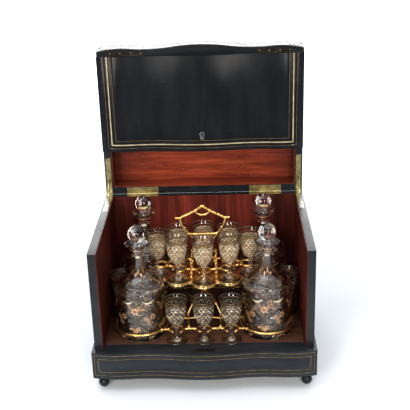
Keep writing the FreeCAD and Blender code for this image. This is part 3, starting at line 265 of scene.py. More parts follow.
def mahogany(name, dark, light, stretch, sheen, dust=0, painted_shade=None):
    """Varnished red-brown veneer with streaky grain and slow changes of tone.

    It can take painted shade along an axis (X from the middle outwards) between two places in
    metres, down to a share of its tone.
    """
    skin = Finish(name)
    grain = skin.noise(stretch, 8, 0.62, 0.25)
    fine = skin.noise(scaled(stretch, 4), 4, 0.7)
    cloud = skin.noise((6, 6, 6), 3, 0.6)
    middle = tuple((a + b) * 0.5 for a, b in zip(dark, light))
    base = skin.ramp(grain, (0.28, dark), (0.52, middle), (0.74, light))
    shade = skin.ramp(cloud, (0.25, 0.45), (0.75, 1))
    pores = skin.ramp(fine, (0.4, 0.72), (0.6, 1))
    colour = skin.times(skin.times(base, shade), pores)
    # Painted shade: the colour is darkened along one axis, between two places in metres
    if painted_shade:
        letter, start, end, left = painted_shade
        place = skin.maths("ABSOLUTE", skin.axis("X")) if letter == "X" else skin.axis(letter)
        run = skin.maths("MULTIPLY_ADD", place, 1 / (end - start), -start / (end - start))
        colour = skin.times(colour, skin.ramp(run, (0, 1), (1, left)))
    if dust:
        colour = skin.mix(colour, DUST, skin.ramp(skin.specks((190, 190, 190)), (0, dust), (0.1, 0)))
    skin.wire(colour, "Base Color")
    skin.wire(skin.ramp(cloud, (0.3, sheen), (0.7, sheen + 0.16)), "Roughness")
    skin.set(Specular_IOR_Level=VARNISH_SHINE)
    skin.bump(fine, 0.1, 0.0003)
    return skin.material


def brass(name, low, high, rough, spot=(0.1, 0.07, 0.03), grain=90, wear=0.35, metallic=1):
    """Old brass: mottled lacquer, dark spots and a brushed, slightly dented surface."""
    skin = Finish(name)
    patch = skin.noise((grain, grain, grain), 5, 0.6)
    spots = skin.noise((grain * 4.2, grain * 4.2, grain * 4.2), 3, 0.6)
    dents = skin.noise((grain * 7, grain * 7, grain * 7), 3, 0.5)
    base = skin.ramp(patch, (0.32, low), (0.66, high))
    skin.wire(skin.mix(base, spot, skin.ramp(spots, (0.58, 0), (0.78, wear))), "Base Color")
    skin.wire(skin.ramp(patch, (0.3, rough + 0.16), (0.7, rough)), "Roughness")
    skin.set(Metallic=metallic)
    skin.bump(dents, 0.12, 0.0003)
    return skin.material


def gilt_bronze(name, low, high, rough, back=1):
    """Cast and gilded metal: bright on the high places, brown in the hollows, with painted shade towards
    the back.
    """
    skin = Finish(name)
    patch = skin.noise((120, 120, 120), 5, 0.6)
    pits = skin.noise((900, 900, 900), 3, 0.6)
    base = skin.ramp(patch, (0.3, low), (0.62, high))
    hollow = skin.ramp(skin.node("NewGeometry").outputs["Pointiness"], (0.4, 0.75), (0.49, 0))
    worn = skin.mix(base, HOLLOW_BROWN, hollow)
    # Painted shade: with back under 1, the gilding is darkened towards the back of the carrier, for the
    # tray's shade
    if back < 1:
        behind = skin.maths("MULTIPLY_ADD", skin.axis("Y"), 16, 0.5)
        worn = skin.times(worn, skin.ramp(behind, (0, 1), (1, back)))
    skin.wire(worn, "Base Color")
    skin.wire(skin.ramp(patch, (0.3, rough + 0.14), (0.7, rough)), "Roughness")
    skin.set(Metallic=1)
    skin.bump(pits, 0.2, 0.00025)
    return skin.material


def clear_glass(name, tint):
    """Lead glass, almost colourless."""
    skin = Finish(name)
    skin.set(Base_Color=(*tint, 1), Roughness=GLASS_ROUGH, IOR=GLASS_IOR, Transmission_Weight=1)
    return skin.material


def cut_glass(name, *painted_tones):
    """Lead glass with a belt of diamond cutting: small four-sided points, painted in four colours of light
    and shade that stand for their glints and refracted light.
    """
    skin = Finish(name)
    maths = skin.maths
    height = skin.axis("Z")
    inside = maths("COMPARE", height, (CUT_FOOT + CUT_TOP) / 2, (CUT_TOP - CUT_FOOT) / 2)
    angle = maths("ARCTAN2", skin.axis("Y"), skin.axis("X"))
    across = maths("MULTIPLY", angle, DIAMONDS_ROUND / TURN)
    rise = maths("MULTIPLY", height, DIAMONDS_A_METRE)
    first = maths("FRACT", maths("ADD", across, rise))
    second = maths("FRACT", maths("SUBTRACT", across, rise))
    first_gap = maths("ABSOLUTE", maths("SUBTRACT", first, 0.5))
    second_gap = maths("ABSOLUTE", maths("SUBTRACT", second, 0.5))
    # Painted light: each point's faces get a lit or a shaded grey by the way they face, and broken cells
    # add random glints
    right_facing = maths("MULTIPLY_ADD", maths("GREATER_THAN", first, 0.5), 0.7, 0.25)
    left_facing = maths("MULTIPLY", maths("LESS_THAN", second, 0.5), 0.65)
    is_first = maths("GREATER_THAN", first_gap, second_gap)
    step = maths("SUBTRACT", right_facing, left_facing)
    facing = maths("ADD", left_facing, maths("MULTIPLY", is_first, step))
    broken = maths("MULTIPLY", skin.facets((420, 420, 420)), 0.48)
    glint = maths("ADD", maths("MULTIPLY", facing, 0.52), broken)
    painted_facet_light = skin.ramp(glint, *zip((0.06, 0.4, 0.68, 0.9), painted_tones))
    mask = maths("MULTIPLY", inside, CUT_COVER)
    skin.wire(skin.mix(GLASS_TINT, painted_facet_light, inside), "Base Color")
    skin.wire(maths("MULTIPLY_ADD", mask, -1, 1), "Transmission Weight")
    skin.wire(maths("MULTIPLY_ADD", mask, 0.12, GLASS_ROUGH), "Roughness")
    skin.wire(maths("MULTIPLY_ADD", mask, -0.4, 0.5), "Specular IOR Level")
    skin.set(IOR=GLASS_IOR)
    point = maths("MULTIPLY", maths("MAXIMUM", first_gap, second_gap), inside)
    skin.bump(point, 0.7, 0.0012)
    return skin.material


def floor_paper():
    """Pale studio paper with a barely visible mottle, and painted shade: darkened near the viewer and
    behind the box.
    """
    skin = Finish("pale_floor")
    mottle = skin.noise((3, 3, 3), 3)
    paper = skin.ramp(mottle, (0.3, (0.83, 0.87, 0.92)), (0.7, (0.86, 0.9, 0.95)))
    # Painted shade: the paper is darkened far in front, so the glass and the flap reflect dark, and a
    # little behind the box
    ahead = skin.ramp(skin.maths("MULTIPLY_ADD", skin.axis("Y"), 0.5, 0.5), (0.08, 0.22), (0.34, 1),
                      (0.44, 1), (0.56, 0.8), (0.72, 0.84), (0.95, 1))
    skin.wire(skin.times(paper, ahead), "Base Color")
    skin.set(Roughness=0.85, Specular_IOR_Level=0.2)
    return skin.material


BLACK_CASE = ebonised("ebonised_case")
BLACK_FLAP = ebonised("ebonised_flap", 1, 0.2, (40, 40, 7), 0.12)
BLACK_GLOSS = ebonised("ebonised_gloss", 0.8, 0.07, (60, 60, 60), 0.3)
SLATE = ebonised("ebonised_plinth", 1.8, 0.26, (9, 120, 60), 0.2)
# Painted shade: the lid and wall linings are darkened from the middle outwards, for the shade towards the
# sides
LID_RED = mahogany("mahogany_lid", (0.22, 0.024, 0.011), (0.86, 0.145, 0.058), (8, 150, 110), 0.3, 0.8,
                   painted_shade=("X", 0.08, 0.14, 0.38))
WALL_RED = mahogany("mahogany_walls", (0.06, 0.01, 0.007), (0.46, 0.06, 0.034), (60, 60, 5), 0.38,
                    painted_shade=("X", 0.08, 0.142, 0.42))
FLAP_RED = mahogany("mahogany_flap", (0.01, 0.004, 0.003), (0.04, 0.012, 0.009), (60, 60, 5), 0.45)
# Painted shade: the carrier board is darkened towards the back, for the shade under the upper tray
BOARD_BROWN = mahogany("mahogany_board", (0.05, 0.022, 0.013), (0.26, 0.11, 0.065), (9, 120, 60), 0.3,
                       painted_shade=("Y", -0.115, -0.03, 0.3))
FLOOR_BROWN = mahogany("mahogany_floor", (0.01, 0.004, 0.003), (0.05, 0.012, 0.008), (9, 120, 60), 0.45)
AGED_BRASS = brass("aged_brass", (0.2, 0.16, 0.065), (0.52, 0.43, 0.2), 0.3)
DULL_LINE = brass("stringing_dull", (0.1, 0.075, 0.03), (0.34, 0.25, 0.11), 0.34)
LID_LINE = brass("stringing_lid", (0.05, 0.038, 0.018), (0.14, 0.105, 0.05), 0.36)
DARK_BRASS = brass("tarnished_brass", (0.012, 0.011, 0.009), (0.045, 0.041, 0.03), 0.45)
# Partly painted reflection: pale grey brass, partly tarnish and partly the pale sky's reflection on the box
# plates
TARNISH_AND_SKY_BRASS = brass("brass_tarnish_and_painted_reflection", (0.2, 0.2, 0.19), (0.42, 0.41, 0.38), 0.26, (0.12, 0.11, 0.1))
STEEL = brass("lock_steel", (0.16, 0.155, 0.15), (0.34, 0.33, 0.32), 0.3, (0.06, 0.04, 0.03))
GILT = gilt_bronze("gilt_bronze", (0.62, 0.31, 0.07), (1, 0.66, 0.24), 0.17)
# Painted shade: a copy of the gilt that is darkened towards the back, for the lower lattice and legs under
# the tray
GILT_PAINTED_SHADE = gilt_bronze("gilt_bronze_painted_shade", (0.62, 0.31, 0.07), (1, 0.66, 0.24), 0.17, 0.16)
GILT_TRAY = gilt_bronze("gilt_tray", (0.42, 0.24, 0.08), (0.85, 0.6, 0.28), 0.12)
GILDING = brass("copper_gilding", (0.5, 0.24, 0.11), (0.88, 0.54, 0.31), 0.26, (0.25, 0.1, 0.04),
                grain=160, wear=0.25, metallic=0.85)
# Partly painted highlight: pale gilding for the crescents, also standing for the glints under the thumb
# cuts
PALE_GILDING_AND_GLINT = brass("pale_gilding_and_painted_glint", (0.75, 0.6, 0.36), (1, 0.93, 0.74), 0.18, (0.5, 0.36, 0.2),
                     grain=160, wear=0.25, metallic=0.85)
RIM_GOLD = brass("rim_gold", (0.3, 0.16, 0.06), (0.72, 0.46, 0.2), 0.26, (0.12, 0.06, 0.02), grain=200)
GLASS = clear_glass("clear_glass", GLASS_TINT)
JUG_GLASS = clear_glass("decanter_glass", (0.93, 0.89, 0.835))
# Painted light and shade: the upper glasses' cutting is lit, the lower glasses' cutting is darkened for the
# tray's shade over them
PAINTED_LIT_CUT = cut_glass("cut_glass_painted_lit", (0.1, 0.065, 0.032), (0.44, 0.3, 0.165), (0.84, 0.64, 0.4),
                       (1, 0.96, 0.82))
PAINTED_SHADE_CUT = cut_glass("cut_glass_painted_shade", (0.018, 0.012, 0.007), (0.105, 0.072, 0.043), (0.3, 0.225, 0.145),
                       (1, 0.9, 0.7))

# The flap's bold line, in metres: from the middle to the line, its height and half its width
BOLD_ACROSS = 0.1482
BOLD_HEIGHT = 0.3138
BOLD_HALF = 0.0022
BOLD_CORNER = 0.15


def flap_lines():
    """The flap's nested lines: a bold bright one between two dull thin ones."""
    skin = Finish("stringing_flap")
    across = skin.maths("ABSOLUTE", skin.axis("X"))
    upright = skin.maths("COMPARE", across, BOLD_ACROSS, BOLD_HALF)
    level = skin.maths("COMPARE", skin.axis("Z"), BOLD_HEIGHT, BOLD_HALF)
    level = skin.maths("MULTIPLY", level, skin.maths("LESS_THAN", across, BOLD_CORNER))
    bold = skin.maths("MAXIMUM", upright, level)
    patch = skin.noise((90, 90, 90), 5, 0.6)
    dull = skin.ramp(patch, (0.32, (0.1, 0.07, 0.028)), (0.66, (0.3, 0.21, 0.095)))
    bright = skin.ramp(patch, (0.32, (0.62, 0.47, 0.22)), (0.66, (0.98, 0.84, 0.55)))
    skin.wire(skin.mix(dull, bright, bold), "Base Color")
    skin.wire(skin.maths("MULTIPLY_ADD", bold, -0.06, 0.36), "Roughness")
    skin.wire(skin.maths("MULTIPLY_ADD", bold, -0.35, 1), "Metallic")
    return skin.material


def paint(finish, *names):
    """Gives CAD nodes a finish."""
    for name in names:
        mesh = nodes[name].data
        mesh.materials.clear()
        mesh.materials.append(finish)


paint(BLACK_CASE, "right_wall", "left_wall", "back_wall", "lid_top", "lid_frame")
paint(BLACK_FLAP, "front_flap")
paint(BLACK_GLOSS, "bun_feet")
paint(SLATE, "plinth")
paint(LID_RED, "lid_lining")
paint(WALL_RED, "wall_linings")
paint(FLAP_RED, "flap_lining")
paint(BOARD_BROWN, "carrier_board")
paint(FLOOR_BROWN, "box_floor")
paint(DULL_LINE, "plinth_stringing")
paint(LID_LINE, "lid_stringing")
paint(flap_lines(), "flap_stringing")
paint(STEEL, "lock_case", "lock_bolt")
paint(AGED_BRASS, "rear_hinge_box_leaves", "rear_hinge_lid_leaves", "rear_hinge_pins",
      "quadrant_lid_plates", "quadrant_arms", "lid_screws", "flap_screws")
# The box plates' grey is partly a painted reflection of the sky
paint(TARNISH_AND_SKY_BRASS, "quadrant_box_plates", "case_screws", "escutcheon")
paint(DARK_BRASS, "flap_hinge_lid_leaves", "flap_hinge_flap_leaves", "flap_hinge_pins", "strike_plate")

WELD_GAP = 0.00002
SHARP_EDGE = 50


def ease_edges(width, *names):
    """Rubbed, slightly rounded edges on the wooden panels."""
    for name in names:
        weld = nodes[name].modifiers.new("weld", "WELD")
        weld.merge_threshold = WELD_GAP
        bevel = nodes[name].modifiers.new("edges", "BEVEL")
        bevel.width = width * MM
        bevel.segments = 2
        bevel.limit_method = "ANGLE"
        bevel.angle_limit = radians(SHARP_EDGE)
        bevel.use_clamp_overlap = True


# Pieces

def build_mesh(name, points, faces, *finishes, kinds=None):
    """A smooth mesh from points in millimetres; kinds numbers each face's finish."""
    mesh = bpy.data.meshes.new(name)
    mesh.from_pydata([tuple(np.array(point) * MM) for point in points], [], faces)
    for finish in finishes:
        mesh.materials.append(finish)
    if kinds:
        mesh.polygons.foreach_set("material_index", kinds)
    mesh.polygons.foreach_set("use_smooth", [True] * len(faces))
    mesh.update()
    return mesh


def add_piece(name, mesh, body, stands_for=(), place=(0, 0, 0)):
    """A finished mesh as an object that rides on a body and stands for CAD nodes."""
    piece = new_object(name, mesh)
    piece.location = place
    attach(piece, body)
    if stands_for:
        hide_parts(*stands_for)


def spline(points, step):
    """A smooth curve through points, sampled about every step."""
    points = [np.array(point, float) for point in points]
    padded = [2 * points[0] - points[1]] + points + [2 * points[-1] - points[-2]]
    out = []
    for before, start, end, after in zip(padded, padded[1:], padded[2:], padded[3:]):
        count = max(1, int(round(np.linalg.norm(end - start) / step)))
        for t in np.arange(count) / count:
            out.append(0.5 * (2 * start + (end - before) * t
                              + (2 * before - 5 * start + 4 * end - after) * t * t
                              + (3 * start - before - 3 * end + after) * t ** 3))
    out.append(points[-1])
    return np.array(out)


def quads(first, rows, across, open_sides=0):
    """Faces between rows of points, closed round each row unless sides are left open."""
    faces = []
    for row in range(first, first + (rows - 1) * across, across):
        for place in range(across - open_sides):
            beside = (place + 1) % across
            faces.append((row + place, row + beside, row + beside + across, row + place + across))
    return faces


POLE = 0.02


def profile(runs):
    """The rows of a profile, without its last point."""
    return [row for points, step in runs for row in spline(points, step)[:-1]]


def lathe(name, runs, segments, finish, shape=None, inside=(), inner_finish=None):
    """A turned mesh from runs of (radius, height) rows in millimetres.

    Each run is a smooth curve, and runs meet in corners. The shape takes a row's angles,
    radius and height, and gives the radius with its cuts. The runs of the inside aren't cut,
    and can have a finish of their own.
    """
    rows = profile(runs)
    outer = len(rows)
    rows += profile(inside)
    rows.append((inside or runs)[-1][0][-1])
    angles = np.arange(segments) / segments * TURN
    points = []
    rings = []
    for radius, height in rows:
        if radius < POLE:
            rings.append([len(points)])
            points.append((0, 0, height))
            continue
        cut = shape and len(rings) < outer
        reach = shape(angles, radius, height) if cut else np.full(segments, radius)
        rings.append(list(range(len(points), len(points) + segments)))
        points.extend(zip(reach * np.cos(angles), reach * np.sin(angles), np.full(segments, height)))
    faces = []
    for low, high in zip(rings, rings[1:]):
        for index in range(segments):
            after = (index + 1) % segments
            if len(low) == 1:
                faces.append((low[0], high[after], high[index]))
            elif len(high) == 1:
                faces.append((low[index], low[after], high[0]))
            else:
                faces.append((low[index], low[after], high[after], high[index]))
    if not inner_finish:
        return build_mesh(name, points, faces, finish)
    kinds = [int(index >= outer * segments) for index in range(len(faces))]
    return build_mesh(name, points, faces, finish, inner_finish, kinds=kinds)


def hoop(points, faces, radius, height, wide, tall, segments, sides):
    """Adds a thin round line; wide and tall are half its width and half its height."""
    start = len(points)
    for turn in np.arange(segments) / segments * TURN:
        for side in np.arange(sides) / sides * TURN:
            reach = radius + wide * cos(side)
            points.append((reach * cos(turn), reach * sin(turn), height + tall * sin(side)))
    for ring in range(segments):
        here = start + ring * sides
        there = start + (ring + 1) % segments * sides
        for side in range(sides):
            beside = (side + 1) % sides
            faces.append((here + side, there + side, there + beside, here + beside))


def near(value, width):
    """1 on whole numbers, falling to 0 at a distance from them."""
    gap = np.abs(value - np.round(value))
    return np.clip(1 - gap / width, 0, 1)


def fade(value, low, high, soft):
    """1 between two heights and 0 outside, with soft ends."""
    return float(np.clip((value - low) / soft, 0, 1) * np.clip((high - value) / soft, 0, 1))


# Cordial glasses

CUP_OUT = [
    ([(0, 0.9), (9, 0.7), (14.6, 0.05)], 3),
    ([(14.6, 0.05), (15.7, 0.3), (16, 1), (15.5, 1.6)], 0.5),
    ([(15.5, 1.6), (11.5, 2.4), (7, 3.9), (4.1, 6.2), (2.9, 9.2), (2.5, 13), (2.6, 22)], 1.1),
    ([(2.6, 22), (3.4, 23), (3.9, 24.3), (3.5, 25.5), (2.7, 26.4)], 0.6),
    ([(2.7, 26.4), (5.8, 27.6), (9.4, 31), (11.5, 35.5), (13.1, 40), (14.9, 46.5), (15.7, 52),
      (15.8, 58), (15.9, 62), (16.9, 67), (18.3, 70.7)], 0.9),
]
CUP_IN = [
    ([(18.3, 70.7), (18.1, 70.95), (17.7, 70.7)], 0.3),
    ([(17.7, 70.7), (16, 66.6), (14.8, 62), (14.4, 57.5), (14.2, 52), (13.3, 46.5), (11.5, 41),
      (9.2, 37), (6.4, 34), (3.4, 32.2), (0, 31.6)], 1.8),
]
CUP_SEGMENTS = 128


def flats(angles, count):
    """The share of the radius that is left where a form is cut to a number of flat sides."""
    return 1 / np.cos((angles / TURN * count % 1 - 0.5) * TURN / count) * cos(pi / count)


def cut_bowl(angles, radius, height):
    """The glass's cutting: crossed V grooves, fine hatching, petals under the bowl, a six-sided stem."""
    turns = angles / TURN
    lift = (height - 46) / 26
    depth = np.zeros(len(angles))
    for way in (1, -1):
        depth += near(turns * 8 + lift * way + 0.25, 0.17) * 0.75 * fade(height, 31, 61, 1.5)
        depth += near(turns * 32 + lift * way * 4, 0.35) * 0.22 * fade(height, 36, 60, 2)
    petals = np.abs(np.cos(turns * TURN * 4))
    depth += petals * 0.85 * fade(height, 27.5, 36, 2.5)
    stem = fade(height, 8, 22, 1.5)
    return (radius - depth) * (1 - stem + stem * flats(angles, 6))


def gold_lines():
    """Gilt lines at the rim and under it: radius, height and half height in millimetres."""
    points = []
    faces = []
    for radius, height, half in ((18.15, 70.75, 0.24), (16.5, 65.4, 0.42), (15.95, 62.4, 0.2)):
        hoop(points, faces, radius, height, half * 0.6, half, 72, 8)
    return build_mesh("glass_gold_lines", points, faces, RIM_GOLD)


# The upper glasses have the painted lit cutting inside and out; the lower ones have the painted shaded
# cutting outside and clear glass inside
BRIGHT_CUP = lathe("cordial_glass_above", CUP_OUT, CUP_SEGMENTS, PAINTED_LIT_CUT, cut_bowl, CUP_IN)
SHADED_CUP = lathe("cordial_glass_below", CUP_OUT, CUP_SEGMENTS, PAINTED_SHADE_CUT, cut_bowl, CUP_IN, GLASS)
CUP_LINES = gold_lines()


def middle_of(name):
    """A node's middle in plan, at its foot."""
    low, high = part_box(name)
    return Vector(((low.x + high.x) / 2, (low.y + high.y) / 2, low.z))


def add_glass(name, mesh, place, body, stands_for=()):
    add_piece(name, mesh, body, stands_for, place)
    add_piece(name + "_gold_lines", CUP_LINES, body, (), place)


for body in sorted(frame["bodies"]):
    if body.startswith("upper_glass"):
        add_glass(body + "_cut", BRIGHT_CUP, middle_of(body), body, [body])
    elif body.startswith("lower_front_glass"):
        add_glass(body + "_cut", SHADED_CUP, middle_of(body), body, [body])

tray_low, tray_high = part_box("upper_tray")
CARRIER_Y = (tray_low.y + tray_high.y) / 2 / MM
BOARD_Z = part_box("carrier_board")[1].z / MM
ROW_Y = 89
STEP_X = 41.5
SIDE_X = 132.2
for label, x, y in (("left", -STEP_X, ROW_Y), ("middle", 0, ROW_Y), ("right", STEP_X, ROW_Y),
                    ("side_left", -SIDE_X, 0), ("side_right", SIDE_X, 0)):
    add_glass("inner_glass_" + label, SHADED_CUP, Vector((x, CARRIER_Y + y, BOARD_Z)) * MM, "carrier",
              ["lower_inner_glasses"])


# Decanters

# The bands cross in cells round the body: one crossing's arc length from the front and its height
BODY = 37.4
CELLS = 5
CELL_WIDE = TURN * BODY / CELLS
CELL_HIGH = CELL_WIDE * 0.754
CROSS_U = -6.2
CROSS_Z = 38.6
SCOOPS = 7
SCOOP_WIDE = TURN * BODY / SCOOPS
SCOOP_Z = 79
NECK = 10.6
LEAVES = 16
DECANTER_OUT = [
    ([(0, 1.4), (22, 1.1), (30, 0.05)], 5),
    ([(30, 0.05), (33.4, 0.1), (35.6, 1.2), (37, 3.2), (37.4, 5.6)], 1),
    ([(37.4, 5.6), (37.4, 30), (37.4, 60), (37.4, 84.5)], 1.25),
    ([(37.4, 84.5), (36.4, 87.4), (33.6, 89.8), (28, 92.2), (21.5, 94.8), (16.6, 97.8), (13.6, 101.4),
      (11.6, 106), (10, 113), (9.2, 121), (9, 129), (9.5, 136), (10.7, 143)], 1.3),
    ([(10.7, 143), (12.6, 146), (15.6, 148.4), (18.2, 149.6)], 1),
    ([(18.2, 149.6), (18.6, 150.2), (18.3, 150.9)], 0.4),
]
DECANTER_IN = [
    ([(18.3, 150.9), (14.6, 149.6), (10.8, 147.2), (8.2, 144.2)], 1.5),
    ([(8.2, 144.2), (6.9, 130), (6.4, 120), (6.8, 108), (9.6, 100.5), (15.5, 95), (24, 89.8),
      (31, 84), (33.8, 77), (34, 60), (34, 30), (34, 13), (32.6, 9), (28, 7.2),
      (14, 7.8), (0, 8.4)], 4),
]


def around(angles):
    """Arc length on the body from the point that faces the front."""
    return ((angles + pi / 2 + pi) % TURN - pi) * BODY


def cut_decanter(angles, radius, height):
    """Diagonal bands on the body, thumb cuts over them, flutes on the neck."""
    u = around(angles)
    depth = np.zeros(len(angles))
    if 3 < height < 70:
        rise = (height - CROSS_Z) / CELL_HIGH
        run = (u - CROSS_U) / CELL_WIDE
        bands = np.maximum(near(run + rise, 0.075), near(run - rise, 0.075))
        depth += np.minimum(bands * 1.6, 1) * 0.95 * fade(height, 5, 64, 3)
    if 60 < height < 88:
        across = u / SCOOP_WIDE - 0.5
        gap = (across - np.round(across)) * SCOOP_WIDE
        tall = 12 if height < SCOOP_Z else 9
        arch = 1 - (gap / 14.6) ** 2 - ((height - SCOOP_Z) / tall) ** 2
        depth += np.clip(arch * 2.2, 0, 1) * 1.25
    neck = fade(height, 99, 136, 4)
    if neck > 0:
        return radius * (1 - neck + neck * flats(angles, 8))
    return radius - depth


DECANTER_MESH = lathe("decanter", DECANTER_OUT, 216, JUG_GLASS, cut_decanter, DECANTER_IN)
STOPPER_MESH = lathe("ball_stopper", [
    ([(0, 128.6), (5.4, 128.6)], 3),
    ([(5.4, 128.6), (6.25, 129.4), (6.8, 136), (7.4, 142.6)], 1.5),
    ([(7.4, 142.6), (6.6, 144.6), (5, 146.6), (4.5, 149), (4.6, 152.6), (5.6, 154.4)], 0.8),
    ([(13.4 * cos(a), 166.5 + 13.4 * sin(a)) for a in np.linspace(-1.14, 1.5708, 16)], 0.9),
], 72, GLASS)


LEAF_ROWS = 9
LEAF_RIBS = ((-1, 0), (-0.5, 0.8), (0, 0.55), (0.5, 0.8), (1, 0))


def dome(grid, start, heading, length, width, crown):
    """A leaf or petal in arc length, height and thickness, from its stalk outwards."""
    ahead = np.array((cos(heading), sin(heading)))
    aside = np.array((-ahead[1], ahead[0]))
    points, faces = grid
    first = len(points)
    for index in range(LEAF_ROWS):
        t = index / (LEAF_ROWS - 1)
        half = width * 0.5 * (sin(pi * min(1, t * 0.94 + 0.05)) ** 0.72)
        middle = np.array(start) + ahead * length * t
        for side, lift in LEAF_RIBS:
            u, z = middle + aside * half * side
            points.append((u, z, 0.06 + crown * lift * sin(pi * min(1, t + 0.06)) ** 0.5))
    faces.extend(quads(first, LEAF_ROWS, len(LEAF_RIBS), 1))


def flower(grid, u, z, size, petals, tilt):
    """Separate rounded petals round a small raised eye."""
    for index in range(petals):
        heading = tilt + TURN * index / petals
        base = (u + cos(heading) * size * 0.3, z + sin(heading) * size * 0.3)
        dome(grid, base, heading, size * 0.7, size * 0.56, 0.3)
    for heading in (0, TURN / 4):
        base = (u - cos(heading) * size * 0.13, z - sin(heading) * size * 0.13)
        dome(grid, base, heading, size * 0.26, size * 0.22, 0.45)


def spray(grid, u, z, size, way):
    """A curling stem with small leaves on both sides and buds at its end."""
    for index in range(7):
        along = -0.75 + index * 0.24
        bend = 0.16 * sin(index * 1.1)
        for side in (-1, 1):
            turn = side * (1.05 - 0.07 * index)
            base = (u + size * (along * cos(way) - bend * sin(way)) + 0.5 * cos(way + turn),
                    z + size * (along * sin(way) + bend * cos(way)) + 0.5 * sin(way + turn))
            long = size * (0.5 - 0.035 * index) * (1 if (index + side) % 2 else 0.76)
            dome(grid, base, way + turn, long, size * 0.2, 0.26)
    tip = (u + 0.75 * size * cos(way), z + 0.75 * size * sin(way))
    dome(grid, tip, way, size * 0.34, size * 0.24, 0.3)


def crescent(grid, u, z, wide, rise):
    """A gilt crescent under a thumb cut; its pale finish also stands for the cut's glint, a painted
    highlight.
    """
    for index in range(7):
        t = (index - 3) / 3.4
        heading = atan2(rise * 2 * t, wide * 0.5)
        dome(grid, (u + t * wide * 0.5 - 1.6, z + rise * t * t), heading, 3.7, 3.4 * (1 - 0.6 * t * t), 0.3)


def neck_wide(z):
    """The radius of the neck's gilding at a height."""
    return 9.75 + 2.9 * max(0, (112 - z) / 9) ** 1.6


def wrapped(grid, girth, radius_at):
    """A grid's points bent round an upright axis, with arc length taken at the girth's radius."""
    points = []
    for u, z, lift in grid[0]:
        angle = u / girth - pi / 2
        reach = radius_at(z) + lift
        points.append((reach * cos(angle), reach * sin(angle), z))
    return points


def decanter_gilding():
    """Flowers and leaf sprays in the cells between the bands, and gilt leaves round the neck."""
    grid = ([], [])
    for column in range(CELLS):
        left = CROSS_U + CELL_WIDE * column
        middle = left + CELL_WIDE / 2
        flower(grid, left + 0.4, CROSS_Z + CELL_HIGH * 0.46, 6.6, 6, 0.3 + column)
        spray(grid, left + 7.6, CROSS_Z + CELL_HIGH * 0.66, 5, 0.9)
        spray(grid, left - 7, CROSS_Z + CELL_HIGH * 0.66, 4.4, 2.2)
        spray(grid, middle - 2, CROSS_Z - 3, 8.6, 0.55 if column % 2 else 2.3)
        flower(grid, middle + 4.6, CROSS_Z + 5, 5.4, 6, 0.8)
        flower(grid, middle - 5.5, CROSS_Z + 3.6, 3.8, 5, 0.2)
        spray(grid, left - 2, CROSS_Z - CELL_HIGH * 0.44, 8.2, 0.2 if column % 2 else 2.9)
        flower(grid, left + 4.2, CROSS_Z - CELL_HIGH * 0.4, 4.2, 6, 0.5)
        spray(grid, middle, CROSS_Z - CELL_HIGH * 0.88, 4.6, 0.4)
    copper = len(grid[1])
    # Crescents of pale gilding, partly a painted highlight of the thumb cuts' glints
    for scoop in range(SCOOPS):
        crescent(grid, SCOOP_WIDE * (scoop + 0.5), 67.6, 15, 2.6)
    pale = len(grid[1])
    neck = ([], [])
    for index in range(LEAVES):
        low, length = (101.6, 5) if index % 2 else (105.4, 8.4)
        dome(neck, (TURN * NECK / LEAVES * index, low), TURN / 4, length, 2.3, 0.18)
    points = wrapped(grid, BODY, lambda z: BODY)
    start = len(points)
    points += wrapped(neck, NECK, neck_wide)
    faces = grid[1] + [tuple(start + index for index in face) for face in neck[1]]
    for radius, z, half in ((9.35, 133.6, 0.4), (10.95, 142.6, 0.6)):
        hoop(points, faces, radius, z, half * 0.5, half, 48, 6)
    kinds = [int(copper <= index < pale) for index in range(len(faces))]
    return build_mesh("decanter_gilding", points, faces, GILDING, PALE_GILDING_AND_GLINT, kinds=kinds)


GILDING_MESH = decanter_gilding()
for corner in ("front_left", "front_right", "back_left", "back_right"):
    body = "decanter_" + corner
    place = middle_of(body)
    add_piece(body + "_cut", DECANTER_MESH, body, [body], place)
    add_piece(body + "_gilding", GILDING_MESH, body, (), place)
    stopper = "stopper_" + corner
    add_piece(stopper + "_ball", STOPPER_MESH, stopper, [stopper], place)


# Cast and gilded branches of the carrier

BRANCH_STEP = 1.3
SPOKES = 10
KNOT_ROWS = 7


